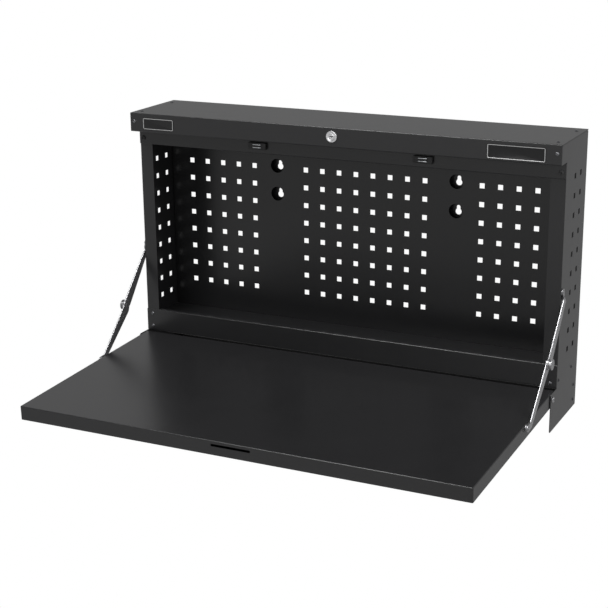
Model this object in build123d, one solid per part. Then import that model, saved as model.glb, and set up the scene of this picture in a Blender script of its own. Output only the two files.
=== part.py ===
from build123d import *
import math
import os

# Wall mounted folding workbench: a folded sheet steel tool cabinet with a perforated back,
# a worktop that hinges up to close the front, a folding stay on each side and a cam lock.
# Millimetres. X runs to the right, Y into the wall and Z up. The origin is the middle of
# the four wall keyholes, on the wall plane. The worktop is drawn open, as it is used.

# Cabinet shell
CABINET_WIDTH = 914.0        # across the outer faces of the side panels
TOP_RISE = 155.2             # keyhole middle up to the top of the cover
FRAME_DEPTH = 143.6          # wall to the front face of the two rails
BAND_OVERHANG = 33.2         # front of the cover's band ahead of the rails
BAND_HEIGHT = 38.7
BAND_RETURN = 8.0            # fold back along the lower edge of the band
COVER_REAR_FLANGE = 20.0
SHEET = 1.2
BEND_INSIDE = 0.6            # inside radius of every fold
BEND_RELIEF = 1.5            # notch between neighbouring folds
FIT_GAP = 0.2                # room left between assembled sheets

# Side panels
STILE_WIDTH = 29.0
SIDE_TOP_FLANGE = 25.0
SIDE_REAR_FLANGE = 20.0
EAR_FLANGE = 20.0            # fold behind the end of the band
TAB_OVERHANG = 35.0          # front of the hinge tab ahead of the rails
TAB_HEIGHT = 78.5
TAB_CORNER = 4.0

# Perforations for tool hooks
PEG_PITCH = 38.0
PEG_HOLE = 10.5
PEG_ROWS = 8
PEG_TOP_ROW = 30.3           # keyhole middle up to the first row
MIDDLE_COLUMNS = 8
OUTER_COLUMNS = 5
OUTER_FIRST_COLUMN = 253.7   # cabinet middle to the first outer column
SIDE_COLUMNS = 2
SIDE_ROWS = 10
SIDE_TOP_ROW = 75.4          # cover top down to the first row
SIDE_REAR_COLUMN = 41.6      # wall to the column nearest the wall

# Back panel, mounting channels, floor and crossbar
PANEL_DEPTH = 17.6           # wall to the front face of the back panel
CHANNEL_SPACING = 400.0
CHANNEL_WEB = 60.0
CHANNEL_LIP = 12.0
CHANNEL_SHEET = 1.5
CHANNEL_END_GAP = 4.5
KEYHOLE_SPACING = 60.0
KEYHOLE_RADIUS = 6.5
KEYHOLE_SLOT = 8.0
KEYHOLE_RISE = 9.3           # round middle up to the slot end's middle
ACCESS_RADIUS = 15.0
ACCESS_RISE = 4.0            # round middle up to the middle of the access hole
FLOOR_SET = 21.8             # bottom of the opening down to the floor
CROSSBAR_RISE = 31.0         # bottom of the side panels up to the middle of the crossbar
CROSSBAR_HEIGHT = 52.0
CROSSBAR_FLANGE = 14.0
CROSSBAR_TAB = 36.0

# Rails
UPPER_RAIL_HEIGHT = 31.5
BOTTOM_RAIL_DROP = 276.2     # keyhole middle down to the bottom of the opening
BOTTOM_RAIL_HEIGHT = 47.9
RAIL_FLANGE = 9.5

# Worktop and its hinge
HINGE_OVERHANG = 21.4        # hinge axis ahead of the rails
HINGE_BELOW_TAB = 14.15      # top of the tab down to the hinge axis
TABLE_DROOP = 1.75           # degrees that the open worktop falls towards its front
TABLE_SIDE_GAP = 0.8
TABLE_THICKNESS = 27.8
TABLE_TOP_RISE = 13.5        # hinge axis up to the work surface
TABLE_CLOSED_GAP = 6.35      # band down to the front of the closed worktop
TABLE_REAR_REACH = 13.5
TABLE_CORNER = 2.2
TABLE_EDGE = 1.7
TABLE_RETURN = 15.0
SKIN_SHEET = 1.0
STIFFENER_REACHES = (95.0, 270.0)
STIFFENER_WEB = 40.0
STIFFENER_LIP = 15.0
STIFFENER_END_GAP = 12.0
SLOT_LENGTH = 80.0
SLOT_WIDTH = 5.0
SLOT_DROP = 8.6              # work surface down to the middle of the lock slot
HINGE_SHANK = 4.0
HINGE_HEAD = 6.0
HINGE_HEAD_HEIGHT = 2.5
HINGE_NUT_ACROSS = 13.0
HINGE_NUT_HEIGHT = 6.5
RUNNING_FIT = 0.05           # radial play of every pivot
SIDE_PLAY = 0.3              # play between faces that pass each other

# Folding stays
STAY_PIVOT_SET = 9.6         # upper pivot behind the front of the rails
STAY_PIVOT_DROP = 132.6
STAY_TABLE_REACH = 163.5     # hinge axis to the lower pivot, along the worktop
STAY_TABLE_RISE = 6.1
STAY_ELBOW_ALONG = 143.3     # upper pivot to the elbow, along the line of the two pivots
STAY_ELBOW_SET = 16.7        # elbow behind that line
STAY_SHEET = 2.0
STAY_STAND_OFF = 1.6         # side panel to the inner arm
STAY_WASHER = 0.5            # washer under the upper arm's eye
STAY_EYE = 7.0
STAY_PIN = 3.0
STAY_END = 6.3               # half width of an arm beside its eye
STAY_END_ALONG = 12.0
UPPER_END_SET = 14.0         # upper arm's end behind the line of the two pivots
LOWER_END_SET = 10.2
STAY_HEEL = 11.3             # half width of an arm near the elbow
STAY_HEEL_ALONG = 9.0        # elbow back to the widest part
STAY_HEEL_SET = 3.0
STAY_ELBOW_RADIUS = 10.5
JOGGLE_START = 7.5           # upper pivot to the offset bend, along the arm
JOGGLE_LENGTH = 4.5
SPACER_RADIUS = 7.0
STUD_HEAD = 4.5
STUD_HEAD_HEIGHT = 1.1
STUD_TAIL = 4.2              # formed end inside the panel
KNOB_COLLAR = 8.5
KNOB_COLLAR_HEIGHT = 4.1
KNOB_RADIUS = 10.5
KNOB_HEIGHT = 3.0
KNOB_EDGE = 0.9
ELBOW_RIVET_HEAD = 4.5
ELBOW_RIVET_HEIGHT = 0.8

# Lock
LOCK_DROP = 17.6             # cover top down to the lock
LOCK_FACE = 11.5
LOCK_FACE_HEIGHT = 2.4
LOCK_FACE_EDGE = 0.8
LOCK_BARREL = 9.0
LOCK_PLUG = 6.0
LOCK_PLUG_RECESS = 0.4
KEYWAY_LENGTH = 8.0
KEYWAY_WIDTH = 2.0
KEYWAY_DEPTH = 8.0
LOCK_NUT_ACROSS = 23.0
LOCK_NUT_HEIGHT = 4.0
CAM_SHEET = 2.5
CAM_WIDTH = 16.0
CAM_ENGAGEMENT = 9.0         # length of cam inside the worktop when locked
CAM_SQUARE = 7.0
CAM_SCREW_SHANK = 2.0
CAM_SCREW_DEPTH = 5.0
CAM_SCREW_HEAD = 5.0
CAM_SCREW_HEIGHT = 2.2

# Magnetic catches and bumpers
CATCH_SPACING = 356.0
CATCH_RISE = 16.2            # top of the opening up to the middle of the catches
CATCH_WIDTH = 40.0
CATCH_HEIGHT = 14.0
CATCH_CORNER = 2.0
POLE_LENGTH = 18.0
POLE_SHEET = 1.9
POLE_PITCH = 5.8
POLE_PROUD = 0.8
POLE_DEPTH = 5.0
BUMPER_WIDTH = 11.0
BUMPER_HEIGHT = 22.0
BUMPER_CORNER = 4.5
BUMPER_EDGE = 3.0            # rounding of its front
BUMPER_INSET = 3.5           # cabinet side to the bumper
BUMPER_RISE = 12.7           # top of the opening up to the middle of the bumpers

# Fasteners
SCREW_SHANK = 2.0
SCREW_HEAD = 3.6
SCREW_HEAD_HEIGHT = 1.4
SCREW_TAIL = 4.0
HOLE_PLAY = 0.1
HOLE_OVERRUN = 1.0           # drilling past the end of a fastener
BAND_SCREW_INSET = 9.0       # cabinet side to the band's end screws
BAND_SCREW_DROP = 17.5       # cover top down to those screws
RAIL_SCREW_INSET = 13.3
RAIL_SCREW_MARGIN = 10.0     # edge of the bottom rail to its screws
COVER_RIVET_INSET = 14.5
COVER_RIVET_REAR = 33.3      # wall to the rear rivets
COVER_RIVET_FRONT = 23.4     # front of the band back to the front rivets
FLOOR_RIVET_DROP = 12.7      # floor down to its rivets
FLOOR_RIVET_REAR = 24.6      # back panel forward to the rear rivets
FLOOR_RIVET_FRONT = 13.3     # front of the rails back to the front rivets
CROSSBAR_RIVET_DEPTH = 19.7
CROSSBAR_RIVET_SPACING = 31.6

# Places worked out from the sizes above
HALF_WIDTH = CABINET_WIDTH / 2
INNER_SIDE = HALF_WIDTH - SHEET
BAND_DEPTH = FRAME_DEPTH + BAND_OVERHANG
TAB_DEPTH = FRAME_DEPTH + TAB_OVERHANG
HINGE_DEPTH = FRAME_DEPTH + HINGE_OVERHANG
STILE_FRONT = -(FRAME_DEPTH - SHEET)
EAR_FRONT = -(BAND_DEPTH - SHEET)
BAND_BOTTOM = TOP_RISE - BAND_HEIGHT
SIDE_TOP = TOP_RISE - SHEET
LOCK_RISE = TOP_RISE - LOCK_DROP
UPPER_RAIL_RISE = BAND_BOTTOM - FIT_GAP - UPPER_RAIL_HEIGHT
RAIL_LOW = -BOTTOM_RAIL_DROP - BOTTOM_RAIL_HEIGHT
FLOOR_RISE = -BOTTOM_RAIL_DROP - FLOOR_SET
FLOOR_LOW = RAIL_LOW + SHEET + FIT_GAP
TAB_TOP = RAIL_LOW - FIT_GAP
BOTTOM = TAB_TOP - TAB_HEIGHT
CROSSBAR_MIDDLE = BOTTOM + CROSSBAR_RISE
HINGE_RISE = TAB_TOP - HINGE_BELOW_TAB
BEND_OUTSIDE = BEND_INSIDE + SHEET
CORNER_ROOM = BEND_OUTSIDE + BEND_RELIEF
TABLE_HALF_WIDTH = INNER_SIDE - TABLE_SIDE_GAP
TABLE_CLOSED_FACE = -HINGE_DEPTH + TABLE_TOP_RISE
TABLE_CLOSED_EDGE = BAND_BOTTOM - TABLE_CLOSED_GAP
TABLE_FRONT_REACH = TABLE_CLOSED_EDGE - HINGE_RISE
CAM_PLANE = TABLE_CLOSED_FACE - SLOT_DROP
LOWER_ARM_FACE = HALF_WIDTH + STAY_STAND_OFF
UPPER_ARM_FACE = LOWER_ARM_FACE + STAY_SHEET + SIDE_PLAY
UPPER_ARM_OUTSIDE = UPPER_ARM_FACE + STAY_SHEET
UPPER_EYE_FACE = HALF_WIDTH + STAY_WASHER + FIT_GAP
TABLE_PLACE = Location((0, -HINGE_DEPTH, HINGE_RISE), (TABLE_DROOP, 0, 0))


def folded(points, sheet=SHEET):
    """Section of a folded sheet: its outer face follows the points, metal on the left of them."""
    outer = FilletPolyline(*points, radius=BEND_INSIDE + sheet)
    return make_face(offset(outer, sheet, side=Side.LEFT).edges())


def strip(points, plane, start, stop, sheet=SHEET):
    """A folded section carried along the plane's normal from start to stop."""
    return extrude(plane.offset(start) * folded(points, sheet), amount=stop - start)


def block(x, y, z):
    """A block between pairs of limits."""
    middle = [sum(pair) / 2 for pair in (x, y, z)]
    return Pos(*middle) * Box(x[1] - x[0], y[1] - y[0], z[1] - z[0])


def disc(x, y, z, radius, length):
    """A round bar along +X from x."""
    return Location((x, y, z), (0, 90, 0)) * Cylinder(radius, length, align=BAR_ALIGN)


BAR_ALIGN = (Align.CENTER, Align.CENTER, Align.MIN)


def both(shape):
    """A right-hand shape with its left-hand twin."""
    return [shape, mirror(shape, about=Plane.YZ)]


def joined(shapes):
    """One solid from overlapping or touching shapes."""
    first, *rest = shapes
    return first.fuse(*rest).clean()


def dome(head, height, shank, length):
    """A fastener along +Z: domed head above the origin, plain shank below it."""
    ball = (head**2 + height**2) / (2 * height)
    half = math.asin(head / ball) / 2
    crown = (ball * math.sin(half), height - ball + ball * math.cos(half))
    edge = Polyline((0, height), (0, -length), (shank, -length), (shank, 0), (head, 0))
    arc = ThreePointArc((head, 0), crown, (0, height))
    return revolve(Plane.XZ * make_face([*edge.edges(), arc]), Axis.Z)


def shank_hole(place, length):
    """The hole that a fastener's shank takes, from length above its seat to length below."""
    return place * Cylinder(SCREW_SHANK + HOLE_PLAY, 2 * length)


def facing(point, direction):
    """A place with its +Z along the direction."""
    return Plane(origin=point, z_dir=direction).location


def peg_grid(columns, rows, first, top):
    """Square holes in a sketch, from the first column and the top row."""
    return [
        Pos(first + PEG_PITCH * column, top - PEG_PITCH * row) * Rectangle(PEG_HOLE, PEG_HOLE)
        for column in range(columns)
        for row in range(rows)
    ]


# Places of the fasteners, head outwards

BAND_SCREWS = [
    facing((side * (HALF_WIDTH - BAND_SCREW_INSET), -BAND_DEPTH, TOP_RISE - BAND_SCREW_DROP), (0, -1, 0))
    for side in (-1, 1)
]
RAIL_SCREWS = [
    facing((side * (HALF_WIDTH - RAIL_SCREW_INSET), -FRAME_DEPTH, height), (0, -1, 0))
    for side in (-1, 1)
    for height in (-BOTTOM_RAIL_DROP - RAIL_SCREW_MARGIN, RAIL_LOW + RAIL_SCREW_MARGIN)
]
COVER_RIVETS = [
    facing((side * (HALF_WIDTH - COVER_RIVET_INSET), -depth, TOP_RISE), (0, 0, 1))
    for side in (-1, 1)
    for depth in (COVER_RIVET_REAR, BAND_DEPTH - COVER_RIVET_FRONT)
]
FLOOR_RIVETS = [
    facing((side * HALF_WIDTH, -depth, FLOOR_RISE - FLOOR_RIVET_DROP), (side, 0, 0))
    for side in (-1, 1)
    for depth in (PANEL_DEPTH + FLOOR_RIVET_REAR, FRAME_DEPTH - FLOOR_RIVET_FRONT)
]
CROSSBAR_RIVETS = [
    facing((side * HALF_WIDTH, -CROSSBAR_RIVET_DEPTH, CROSSBAR_MIDDLE + offset), (side, 0, 0))
    for side in (-1, 1)
    for offset in (CROSSBAR_RIVET_SPACING / 2, -CROSSBAR_RIVET_SPACING / 2)
]


def drilled(shape, places):
    """The shape with shank holes at its fasteners' places."""
    return shape - [shank_hole(place, SCREW_TAIL + HOLE_OVERRUN) for place in places]


def fasteners(places):
    """Domed fasteners at each place."""
    return [place * dome(SCREW_HEAD, SCREW_HEAD_HEIGHT, SCREW_SHANK, SCREW_TAIL) for place in places]


# Stay geometry, as (Y, Z) at rest

def on_table(reach, rise):
    """Where a point of the worktop lies with the worktop open."""
    droop = math.radians(TABLE_DROOP)
    y = -HINGE_DEPTH - reach * math.cos(droop) - rise * math.sin(droop)
    z = HINGE_RISE - reach * math.sin(droop) + rise * math.cos(droop)
    return Vector(y, z)


UPPER_PIVOT = Vector(-FRAME_DEPTH + STAY_PIVOT_SET, -STAY_PIVOT_DROP)
LOWER_PIVOT = on_table(STAY_TABLE_REACH, STAY_TABLE_RISE)
STAY_LINE = (LOWER_PIVOT - UPPER_PIVOT).normalized()
STAY_BACK = Vector(-STAY_LINE.Y, STAY_LINE.X)
ELBOW = UPPER_PIVOT + STAY_LINE * STAY_ELBOW_ALONG + STAY_BACK * STAY_ELBOW_SET


def side_panel():
    """Right side panel: perforated plate with stile, ear, top and rear folds and a hinge tab."""
    front = STILE_FRONT + BEND_OUTSIDE
    ear = EAR_FRONT + BEND_OUTSIDE
    top = SIDE_TOP - BEND_OUTSIDE
    outline = Polyline(
        (-BEND_OUTSIDE, BOTTOM),
        (-TAB_DEPTH, BOTTOM),
        (-TAB_DEPTH, TAB_TOP),
        (front, TAB_TOP),
        (front, BAND_BOTTOM),
        (ear, BAND_BOTTOM),
        (ear, top),
        (-BEND_OUTSIDE, top),
        close=True,
    )
    plate = make_face(outline.edges())
    tab_corners = plate.vertices().group_by(Axis.X)[0]
    plate = fillet(tab_corners, TAB_CORNER)
    first = -SIDE_REAR_COLUMN - PEG_PITCH * (SIDE_COLUMNS - 1)
    plate -= peg_grid(SIDE_COLUMNS, SIDE_ROWS, first, TOP_RISE - SIDE_TOP_ROW)
    plate = extrude(Plane.YZ.offset(INNER_SIDE) * plate, amount=SHEET)
    lap = 2 * BEND_OUTSIDE
    stile_end = HALF_WIDTH - STILE_WIDTH
    stile = strip(
        [(stile_end, STILE_FRONT), (HALF_WIDTH, STILE_FRONT), (HALF_WIDTH, STILE_FRONT + lap)],
        Plane.XY, TAB_TOP + BEND_RELIEF, BAND_BOTTOM - BEND_RELIEF,
    )
    ear_fold = strip(
        [(HALF_WIDTH - EAR_FLANGE, EAR_FRONT), (HALF_WIDTH, EAR_FRONT), (HALF_WIDTH, EAR_FRONT + lap)],
        Plane.XY, BAND_BOTTOM + BEND_RELIEF, SIDE_TOP - CORNER_ROOM,
    )
    rear_fold = strip(
        [(HALF_WIDTH, -lap), (HALF_WIDTH, 0), (HALF_WIDTH - SIDE_REAR_FLANGE, 0)],
        Plane.XY, BOTTOM, TOP_RISE - COVER_REAR_FLANGE - BEND_RELIEF,
    )
    top_fold = strip(
        [(HALF_WIDTH, SIDE_TOP - lap), (HALF_WIDTH, SIDE_TOP), (HALF_WIDTH - SIDE_TOP_FLANGE, SIDE_TOP)],
        Plane.XZ, CORNER_ROOM, -EAR_FRONT - CORNER_ROOM,
    )
    panel = joined([plate, stile, ear_fold, rear_fold, top_fold])
    panel = drilled(panel, BAND_SCREWS + RAIL_SCREWS + COVER_RIVETS + FLOOR_RIVETS + CROSSBAR_RIVETS)
    panel -= disc(INNER_SIDE, -HINGE_DEPTH, HINGE_RISE, HINGE_SHANK + RUNNING_FIT, SHEET)
    panel -= disc(INNER_SIDE, UPPER_PIVOT.X, UPPER_PIVOT.Y, STAY_PIN, SHEET)
    return panel


def back_panel():
    """Perforated back: a pan with its edges folded towards the wall."""
    half = INNER_SIDE - FIT_GAP
    top = SIDE_TOP - SHEET - FIT_GAP
    bottom = FLOOR_LOW
    flat = Rectangle(2 * (half - BEND_OUTSIDE), top - bottom - 2 * BEND_OUTSIDE)
    flat = Pos(0, (top + bottom) / 2) * flat
    middle_first = -PEG_PITCH * (MIDDLE_COLUMNS - 1) / 2
    outer_last = OUTER_FIRST_COLUMN + PEG_PITCH * (OUTER_COLUMNS - 1)
    flat -= peg_grid(MIDDLE_COLUMNS, PEG_ROWS, middle_first, PEG_TOP_ROW)
    flat -= peg_grid(OUTER_COLUMNS, PEG_ROWS, OUTER_FIRST_COLUMN, PEG_TOP_ROW)
    flat -= peg_grid(OUTER_COLUMNS, PEG_ROWS, -outer_last, PEG_TOP_ROW)
    flat -= [
        Pos(x, z + ACCESS_RISE) * Circle(ACCESS_RADIUS)
        for x in (-CHANNEL_SPACING / 2, CHANNEL_SPACING / 2)
        for z in (-KEYHOLE_SPACING / 2, KEYHOLE_SPACING / 2)
    ]
    plate = extrude(Plane.XZ.offset(PANEL_DEPTH - SHEET) * flat, amount=SHEET)
    lap = 2 * BEND_OUTSIDE
    rear = -SHEET - FIT_GAP
    side_fold = strip(
        [(half - lap, -PANEL_DEPTH), (half, -PANEL_DEPTH), (half, rear)],
        Plane.XY, bottom + CORNER_ROOM, top - CORNER_ROOM,
    )
    top_fold = strip(
        [(rear, top), (-PANEL_DEPTH, top), (-PANEL_DEPTH, top - lap)],
        Plane.YZ, -half + CORNER_ROOM, half - CORNER_ROOM,
    )
    bottom_fold = strip(
        [(-PANEL_DEPTH, bottom + lap), (-PANEL_DEPTH, bottom), (rear, bottom)],
        Plane.YZ, -half + CORNER_ROOM, half - CORNER_ROOM,
    )
    return joined([plate, *both(side_fold), top_fold, bottom_fold])


def mounting_channel():
    """Right hat channel behind the back panel, with the two wall keyholes in its web."""
    middle = CHANNEL_SPACING / 2
    half = CHANNEL_WEB / 2
    seat = -(PANEL_DEPTH - SHEET)
    wide = half + CHANNEL_LIP - CHANNEL_SHEET
    channel = strip(
        [
            (middle + wide, seat + CHANNEL_SHEET),
            (middle + half, seat + CHANNEL_SHEET),
            (middle + half, 0),
            (middle - half, 0),
            (middle - half, seat + CHANNEL_SHEET),
            (middle - wide, seat + CHANNEL_SHEET),
        ],
        Plane.XY, FLOOR_LOW + CHANNEL_END_GAP, TOP_RISE - COVER_REAR_FLANGE - CHANNEL_END_GAP,
        sheet=CHANNEL_SHEET,
    )
    for height in (-KEYHOLE_SPACING / 2, KEYHOLE_SPACING / 2):
        slot_middle = Pos(0, KEYHOLE_RISE / 2) * Rectangle(KEYHOLE_SLOT, KEYHOLE_RISE)
        slot_end = Pos(0, KEYHOLE_RISE) * Circle(KEYHOLE_SLOT / 2)
        keyhole = Pos(middle, height) * (Circle(KEYHOLE_RADIUS) + slot_middle + slot_end)
        channel -= extrude(Plane.XZ * keyhole, amount=CHANNEL_SHEET)
    return channel


def top_cover():
    """Top plate and front band in one folded sheet, with the hole for the lock."""
    cover = strip(
        [
            (0, TOP_RISE - COVER_REAR_FLANGE),
            (0, TOP_RISE),
            (-BAND_DEPTH, TOP_RISE),
            (-BAND_DEPTH, BAND_BOTTOM),
            (-BAND_DEPTH + BAND_RETURN, BAND_BOTTOM),
        ],
        Plane.YZ, -HALF_WIDTH, HALF_WIDTH,
    )
    rear_end = INNER_SIDE - FIT_GAP
    return_end = HALF_WIDTH - EAR_FLANGE - BEND_RELIEF
    rear_notch = block(
        (rear_end, HALF_WIDTH), (-CORNER_ROOM, 0), (TOP_RISE - COVER_REAR_FLANGE, SIDE_TOP),
    )
    return_notch = block(
        (return_end, HALF_WIDTH), (EAR_FRONT, -BAND_DEPTH + BAND_RETURN),
        (BAND_BOTTOM, BAND_BOTTOM + CORNER_ROOM),
    )
    ear_notch = block(
        (return_end, HALF_WIDTH), (EAR_FRONT, EAR_FRONT + CORNER_ROOM),
        (SIDE_TOP - CORNER_ROOM, SIDE_TOP),
    )
    cover = cover - both(rear_notch) - both(return_notch) - both(ear_notch)
    cover = drilled(cover, BAND_SCREWS + COVER_RIVETS)
    lock_hole = facing((0, -BAND_DEPTH, LOCK_RISE), (0, -1, 0))
    return cover - lock_hole * Cylinder(LOCK_BARREL, 2 * SHEET)


def rail(bottom, top):
    """A channel across the stiles, its two folds between them."""
    face = strip(
        [
            (-FRAME_DEPTH + RAIL_FLANGE, top),
            (-FRAME_DEPTH, top),
            (-FRAME_DEPTH, bottom),
            (-FRAME_DEPTH + RAIL_FLANGE, bottom),
        ],
        Plane.YZ, -HALF_WIDTH, HALF_WIDTH,
    )
    fold_end = HALF_WIDTH - STILE_WIDTH - FIT_GAP
    notch = block((fold_end, HALF_WIDTH), (STILE_FRONT, -FRAME_DEPTH + RAIL_FLANGE), (bottom, top))
    return face - both(notch)


def upper_rail():
    """Rail above the opening, under the band."""
    return rail(UPPER_RAIL_RISE, UPPER_RAIL_RISE + UPPER_RAIL_HEIGHT)


def bottom_rail():
    """Rail below the opening, screwed to the stiles."""
    shape = rail(RAIL_LOW, -BOTTOM_RAIL_DROP)
    return drilled(shape, RAIL_SCREWS)


def floor_panel():
    """Cabinet floor with its four edges folded down."""
    half = INNER_SIDE - FIT_GAP
    rear = -PANEL_DEPTH
    front = STILE_FRONT + SHEET
    tray = strip(
        [(rear, FLOOR_LOW), (rear, FLOOR_RISE), (front, FLOOR_RISE), (front, FLOOR_LOW)],
        Plane.YZ, -half + CORNER_ROOM, half - CORNER_ROOM,
    )
    lap = 2 * CORNER_ROOM
    side_fold = strip(
        [(half, FLOOR_LOW), (half, FLOOR_RISE), (half - lap, FLOOR_RISE)],
        Plane.XZ, -rear + CORNER_ROOM, -front - CORNER_ROOM,
    )
    return drilled(joined([tray, *both(side_fold)]), FLOOR_RIVETS + RAIL_SCREWS)


def rear_crossbar():
    """Low channel across the wall side, with end tabs riveted to the side panels."""
    half = INNER_SIDE - FIT_GAP
    rear = -SHEET
    front = rear - CROSSBAR_FLANGE
    low = CROSSBAR_MIDDLE - CROSSBAR_HEIGHT / 2
    high = low + CROSSBAR_HEIGHT
    channel = strip(
        [(front, low), (rear, low), (rear, high), (front, high)],
        Plane.YZ, -half + CORNER_ROOM, half - CORNER_ROOM,
    )
    lap = 2 * CORNER_ROOM
    end_tab = strip(
        [(half, rear - CROSSBAR_TAB), (half, rear), (half - lap, rear)],
        Plane.XY, low + CORNER_ROOM, high - CORNER_ROOM,
    )
    return drilled(joined([channel, *both(end_tab)]), CROSSBAR_RIVETS)


def worktop():
    """Pan with folded-down edges, welded corners, a return all round and the lock slot."""
    depth = TABLE_FRONT_REACH + TABLE_REAR_REACH
    middle = (TABLE_REAR_REACH - TABLE_FRONT_REACH) / 2
    low = TABLE_TOP_RISE - TABLE_THICKNESS

    def rounded(inset):
        """The pan's body drawn in by an inset on all but its lower side."""
        plan = Rectangle(2 * (TABLE_HALF_WIDTH - inset), depth - 2 * inset)
        plan = fillet(plan.vertices(), TABLE_CORNER - inset)
        body = extrude(Pos(0, middle, low) * plan, amount=TABLE_THICKNESS - inset)
        return fillet(body.edges().group_by(Axis.Z)[-1], TABLE_EDGE - inset)

    hollow = rounded(SHEET) - block(
        (-HALF_WIDTH, HALF_WIDTH), (middle - depth, middle + depth), (low, low + SHEET),
    )
    mouth = Pos(0, middle, low) * Box(
        2 * (TABLE_HALF_WIDTH - TABLE_RETURN), depth - 2 * TABLE_RETURN, 2 * SHEET,
    )
    slot = Location((0, -TABLE_FRONT_REACH, TABLE_TOP_RISE - SLOT_DROP), (90, 0, 0)) * extrude(
        SlotOverall(SLOT_LENGTH, SLOT_WIDTH), amount=2 * SHEET, both=True,
    )
    pan = rounded(0) - hollow - mouth - slot
    pan -= disc(-HALF_WIDTH, 0, 0, HINGE_SHANK, CABINET_WIDTH)
    pan -= disc(-HALF_WIDTH, -STAY_TABLE_REACH, STAY_TABLE_RISE, STAY_PIN, CABINET_WIDTH)
    return TABLE_PLACE * pan


def underside_skin():
    """Flat skin inside the worktop, resting on its returns."""
    inset = SHEET + FIT_GAP
    low = TABLE_TOP_RISE - TABLE_THICKNESS + SHEET
    skin = block(
        (-TABLE_HALF_WIDTH + inset, TABLE_HALF_WIDTH - inset),
        (-TABLE_FRONT_REACH + inset, TABLE_REAR_REACH - inset),
        (low, low + SKIN_SHEET),
    )
    return TABLE_PLACE * fillet(skin.edges().filter_by(Axis.Z), TABLE_CORNER)


def table_stiffener(reach):
    """Hat section across the inside of the worktop, between its top and its skin."""
    end = TABLE_HALF_WIDTH - STIFFENER_END_GAP
    high = TABLE_TOP_RISE - SHEET
    low = high - TABLE_THICKNESS + 2 * SHEET + SKIN_SHEET
    half = STIFFENER_WEB / 2
    wide = half + STIFFENER_LIP
    hat = strip(
        [
            (-reach - wide, high - SHEET),
            (-reach - half, high - SHEET),
            (-reach - half, low),
            (-reach + half, low),
            (-reach + half, high - SHEET),
            (-reach + wide, high - SHEET),
        ],
        Plane.YZ, -end, end,
    )
    return TABLE_PLACE * hat


def hinge_bolt():
    """Right shoulder bolt: runs in the hinge tab and threads into the worktop's nut."""
    inside = TABLE_HALF_WIDTH - SHEET - HINGE_NUT_HEIGHT
    head_seat = HALF_WIDTH + SIDE_PLAY
    shank = disc(inside, 0, 0, HINGE_SHANK, head_seat - inside)
    head = disc(head_seat, 0, 0, HINGE_HEAD, HINGE_HEAD_HEIGHT)
    return TABLE_PLACE * (shank + head)


def hinge_nut():
    """Right nut welded inside the worktop's edge."""
    inside = TABLE_HALF_WIDTH - SHEET - HINGE_NUT_HEIGHT
    flat = RegularPolygon(HINGE_NUT_ACROSS / 2, 6, major_radius=False) - Circle(HINGE_SHANK)
    return TABLE_PLACE * extrude(Plane.YZ.offset(inside) * flat, amount=HINGE_NUT_HEIGHT)


def arm(pivot, along, end_set):
    """Sketch of a stay arm: eye, dog-leg and a bar that widens to the elbow."""
    end = pivot + along * STAY_END_ALONG + STAY_BACK * end_set
    wide = ELBOW - along * STAY_HEEL_ALONG + STAY_BACK * STAY_HEEL_SET
    rounds = [
        Pos(middle) * Circle(radius)
        for middle, radius in (
            (pivot, STAY_EYE), (end, STAY_END), (wide, STAY_HEEL), (ELBOW, STAY_ELBOW_RADIUS),
        )
    ]
    hook, *rest = [make_hull((first + second).edges()) for first, second in zip(rounds, rounds[1:])]
    outline = hook + rest
    return outline - Pos(pivot) * Circle(STAY_PIN + RUNNING_FIT) - Pos(ELBOW) * Circle(STAY_PIN)


def upper_arm():
    """Right upper arm: eye beside the side panel, an offset bend, then a bar in the outer plane."""
    outline = arm(UPPER_PIVOT, STAY_LINE, UPPER_END_SET)
    depth = UPPER_ARM_OUTSIDE - UPPER_EYE_FACE
    blank = extrude(Plane.YZ.offset(UPPER_EYE_FACE) * outline, amount=depth)
    along = Plane(
        origin=(0, UPPER_PIVOT.X, UPPER_PIVOT.Y),
        x_dir=(0, STAY_LINE.X, STAY_LINE.Y),
        z_dir=(0, STAY_LINE.Y, -STAY_LINE.X),
    )
    reach = 2 * STAY_ELBOW_ALONG
    offset_sheet = strip(
        [
            (-reach, UPPER_EYE_FACE),
            (JOGGLE_START, UPPER_EYE_FACE),
            (JOGGLE_START + JOGGLE_LENGTH, UPPER_ARM_FACE),
            (reach, UPPER_ARM_FACE),
        ],
        along, -reach, reach, sheet=STAY_SHEET,
    )
    return blank & offset_sheet


def lower_arm():
    """Right lower arm, hung on the worktop's edge, in the inner plane."""
    outline = arm(LOWER_PIVOT, -STAY_LINE, LOWER_END_SET)
    return extrude(Plane.YZ.offset(LOWER_ARM_FACE) * outline, amount=STAY_SHEET)


def elbow_knob():
    """Right elbow knob on the upper arm, its pin flush with the arm's inner face."""
    pin = disc(UPPER_ARM_FACE, ELBOW.X, ELBOW.Y, STAY_PIN, STAY_SHEET)
    collar = disc(UPPER_ARM_OUTSIDE, ELBOW.X, ELBOW.Y, KNOB_COLLAR, KNOB_COLLAR_HEIGHT)
    cap = disc(UPPER_ARM_OUTSIDE + KNOB_COLLAR_HEIGHT, ELBOW.X, ELBOW.Y, KNOB_RADIUS, KNOB_HEIGHT)
    cap = chamfer(cap.edges(), KNOB_EDGE)
    return joined([pin, collar, cap])


def elbow_rivet():
    """Right elbow rivet on the lower arm, flush with the arm's outer face."""
    pin = disc(LOWER_ARM_FACE, ELBOW.X, ELBOW.Y, STAY_PIN, STAY_SHEET)
    head_start = LOWER_ARM_FACE - ELBOW_RIVET_HEIGHT
    return pin + disc(head_start, ELBOW.X, ELBOW.Y, ELBOW_RIVET_HEAD, ELBOW_RIVET_HEIGHT)


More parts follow.
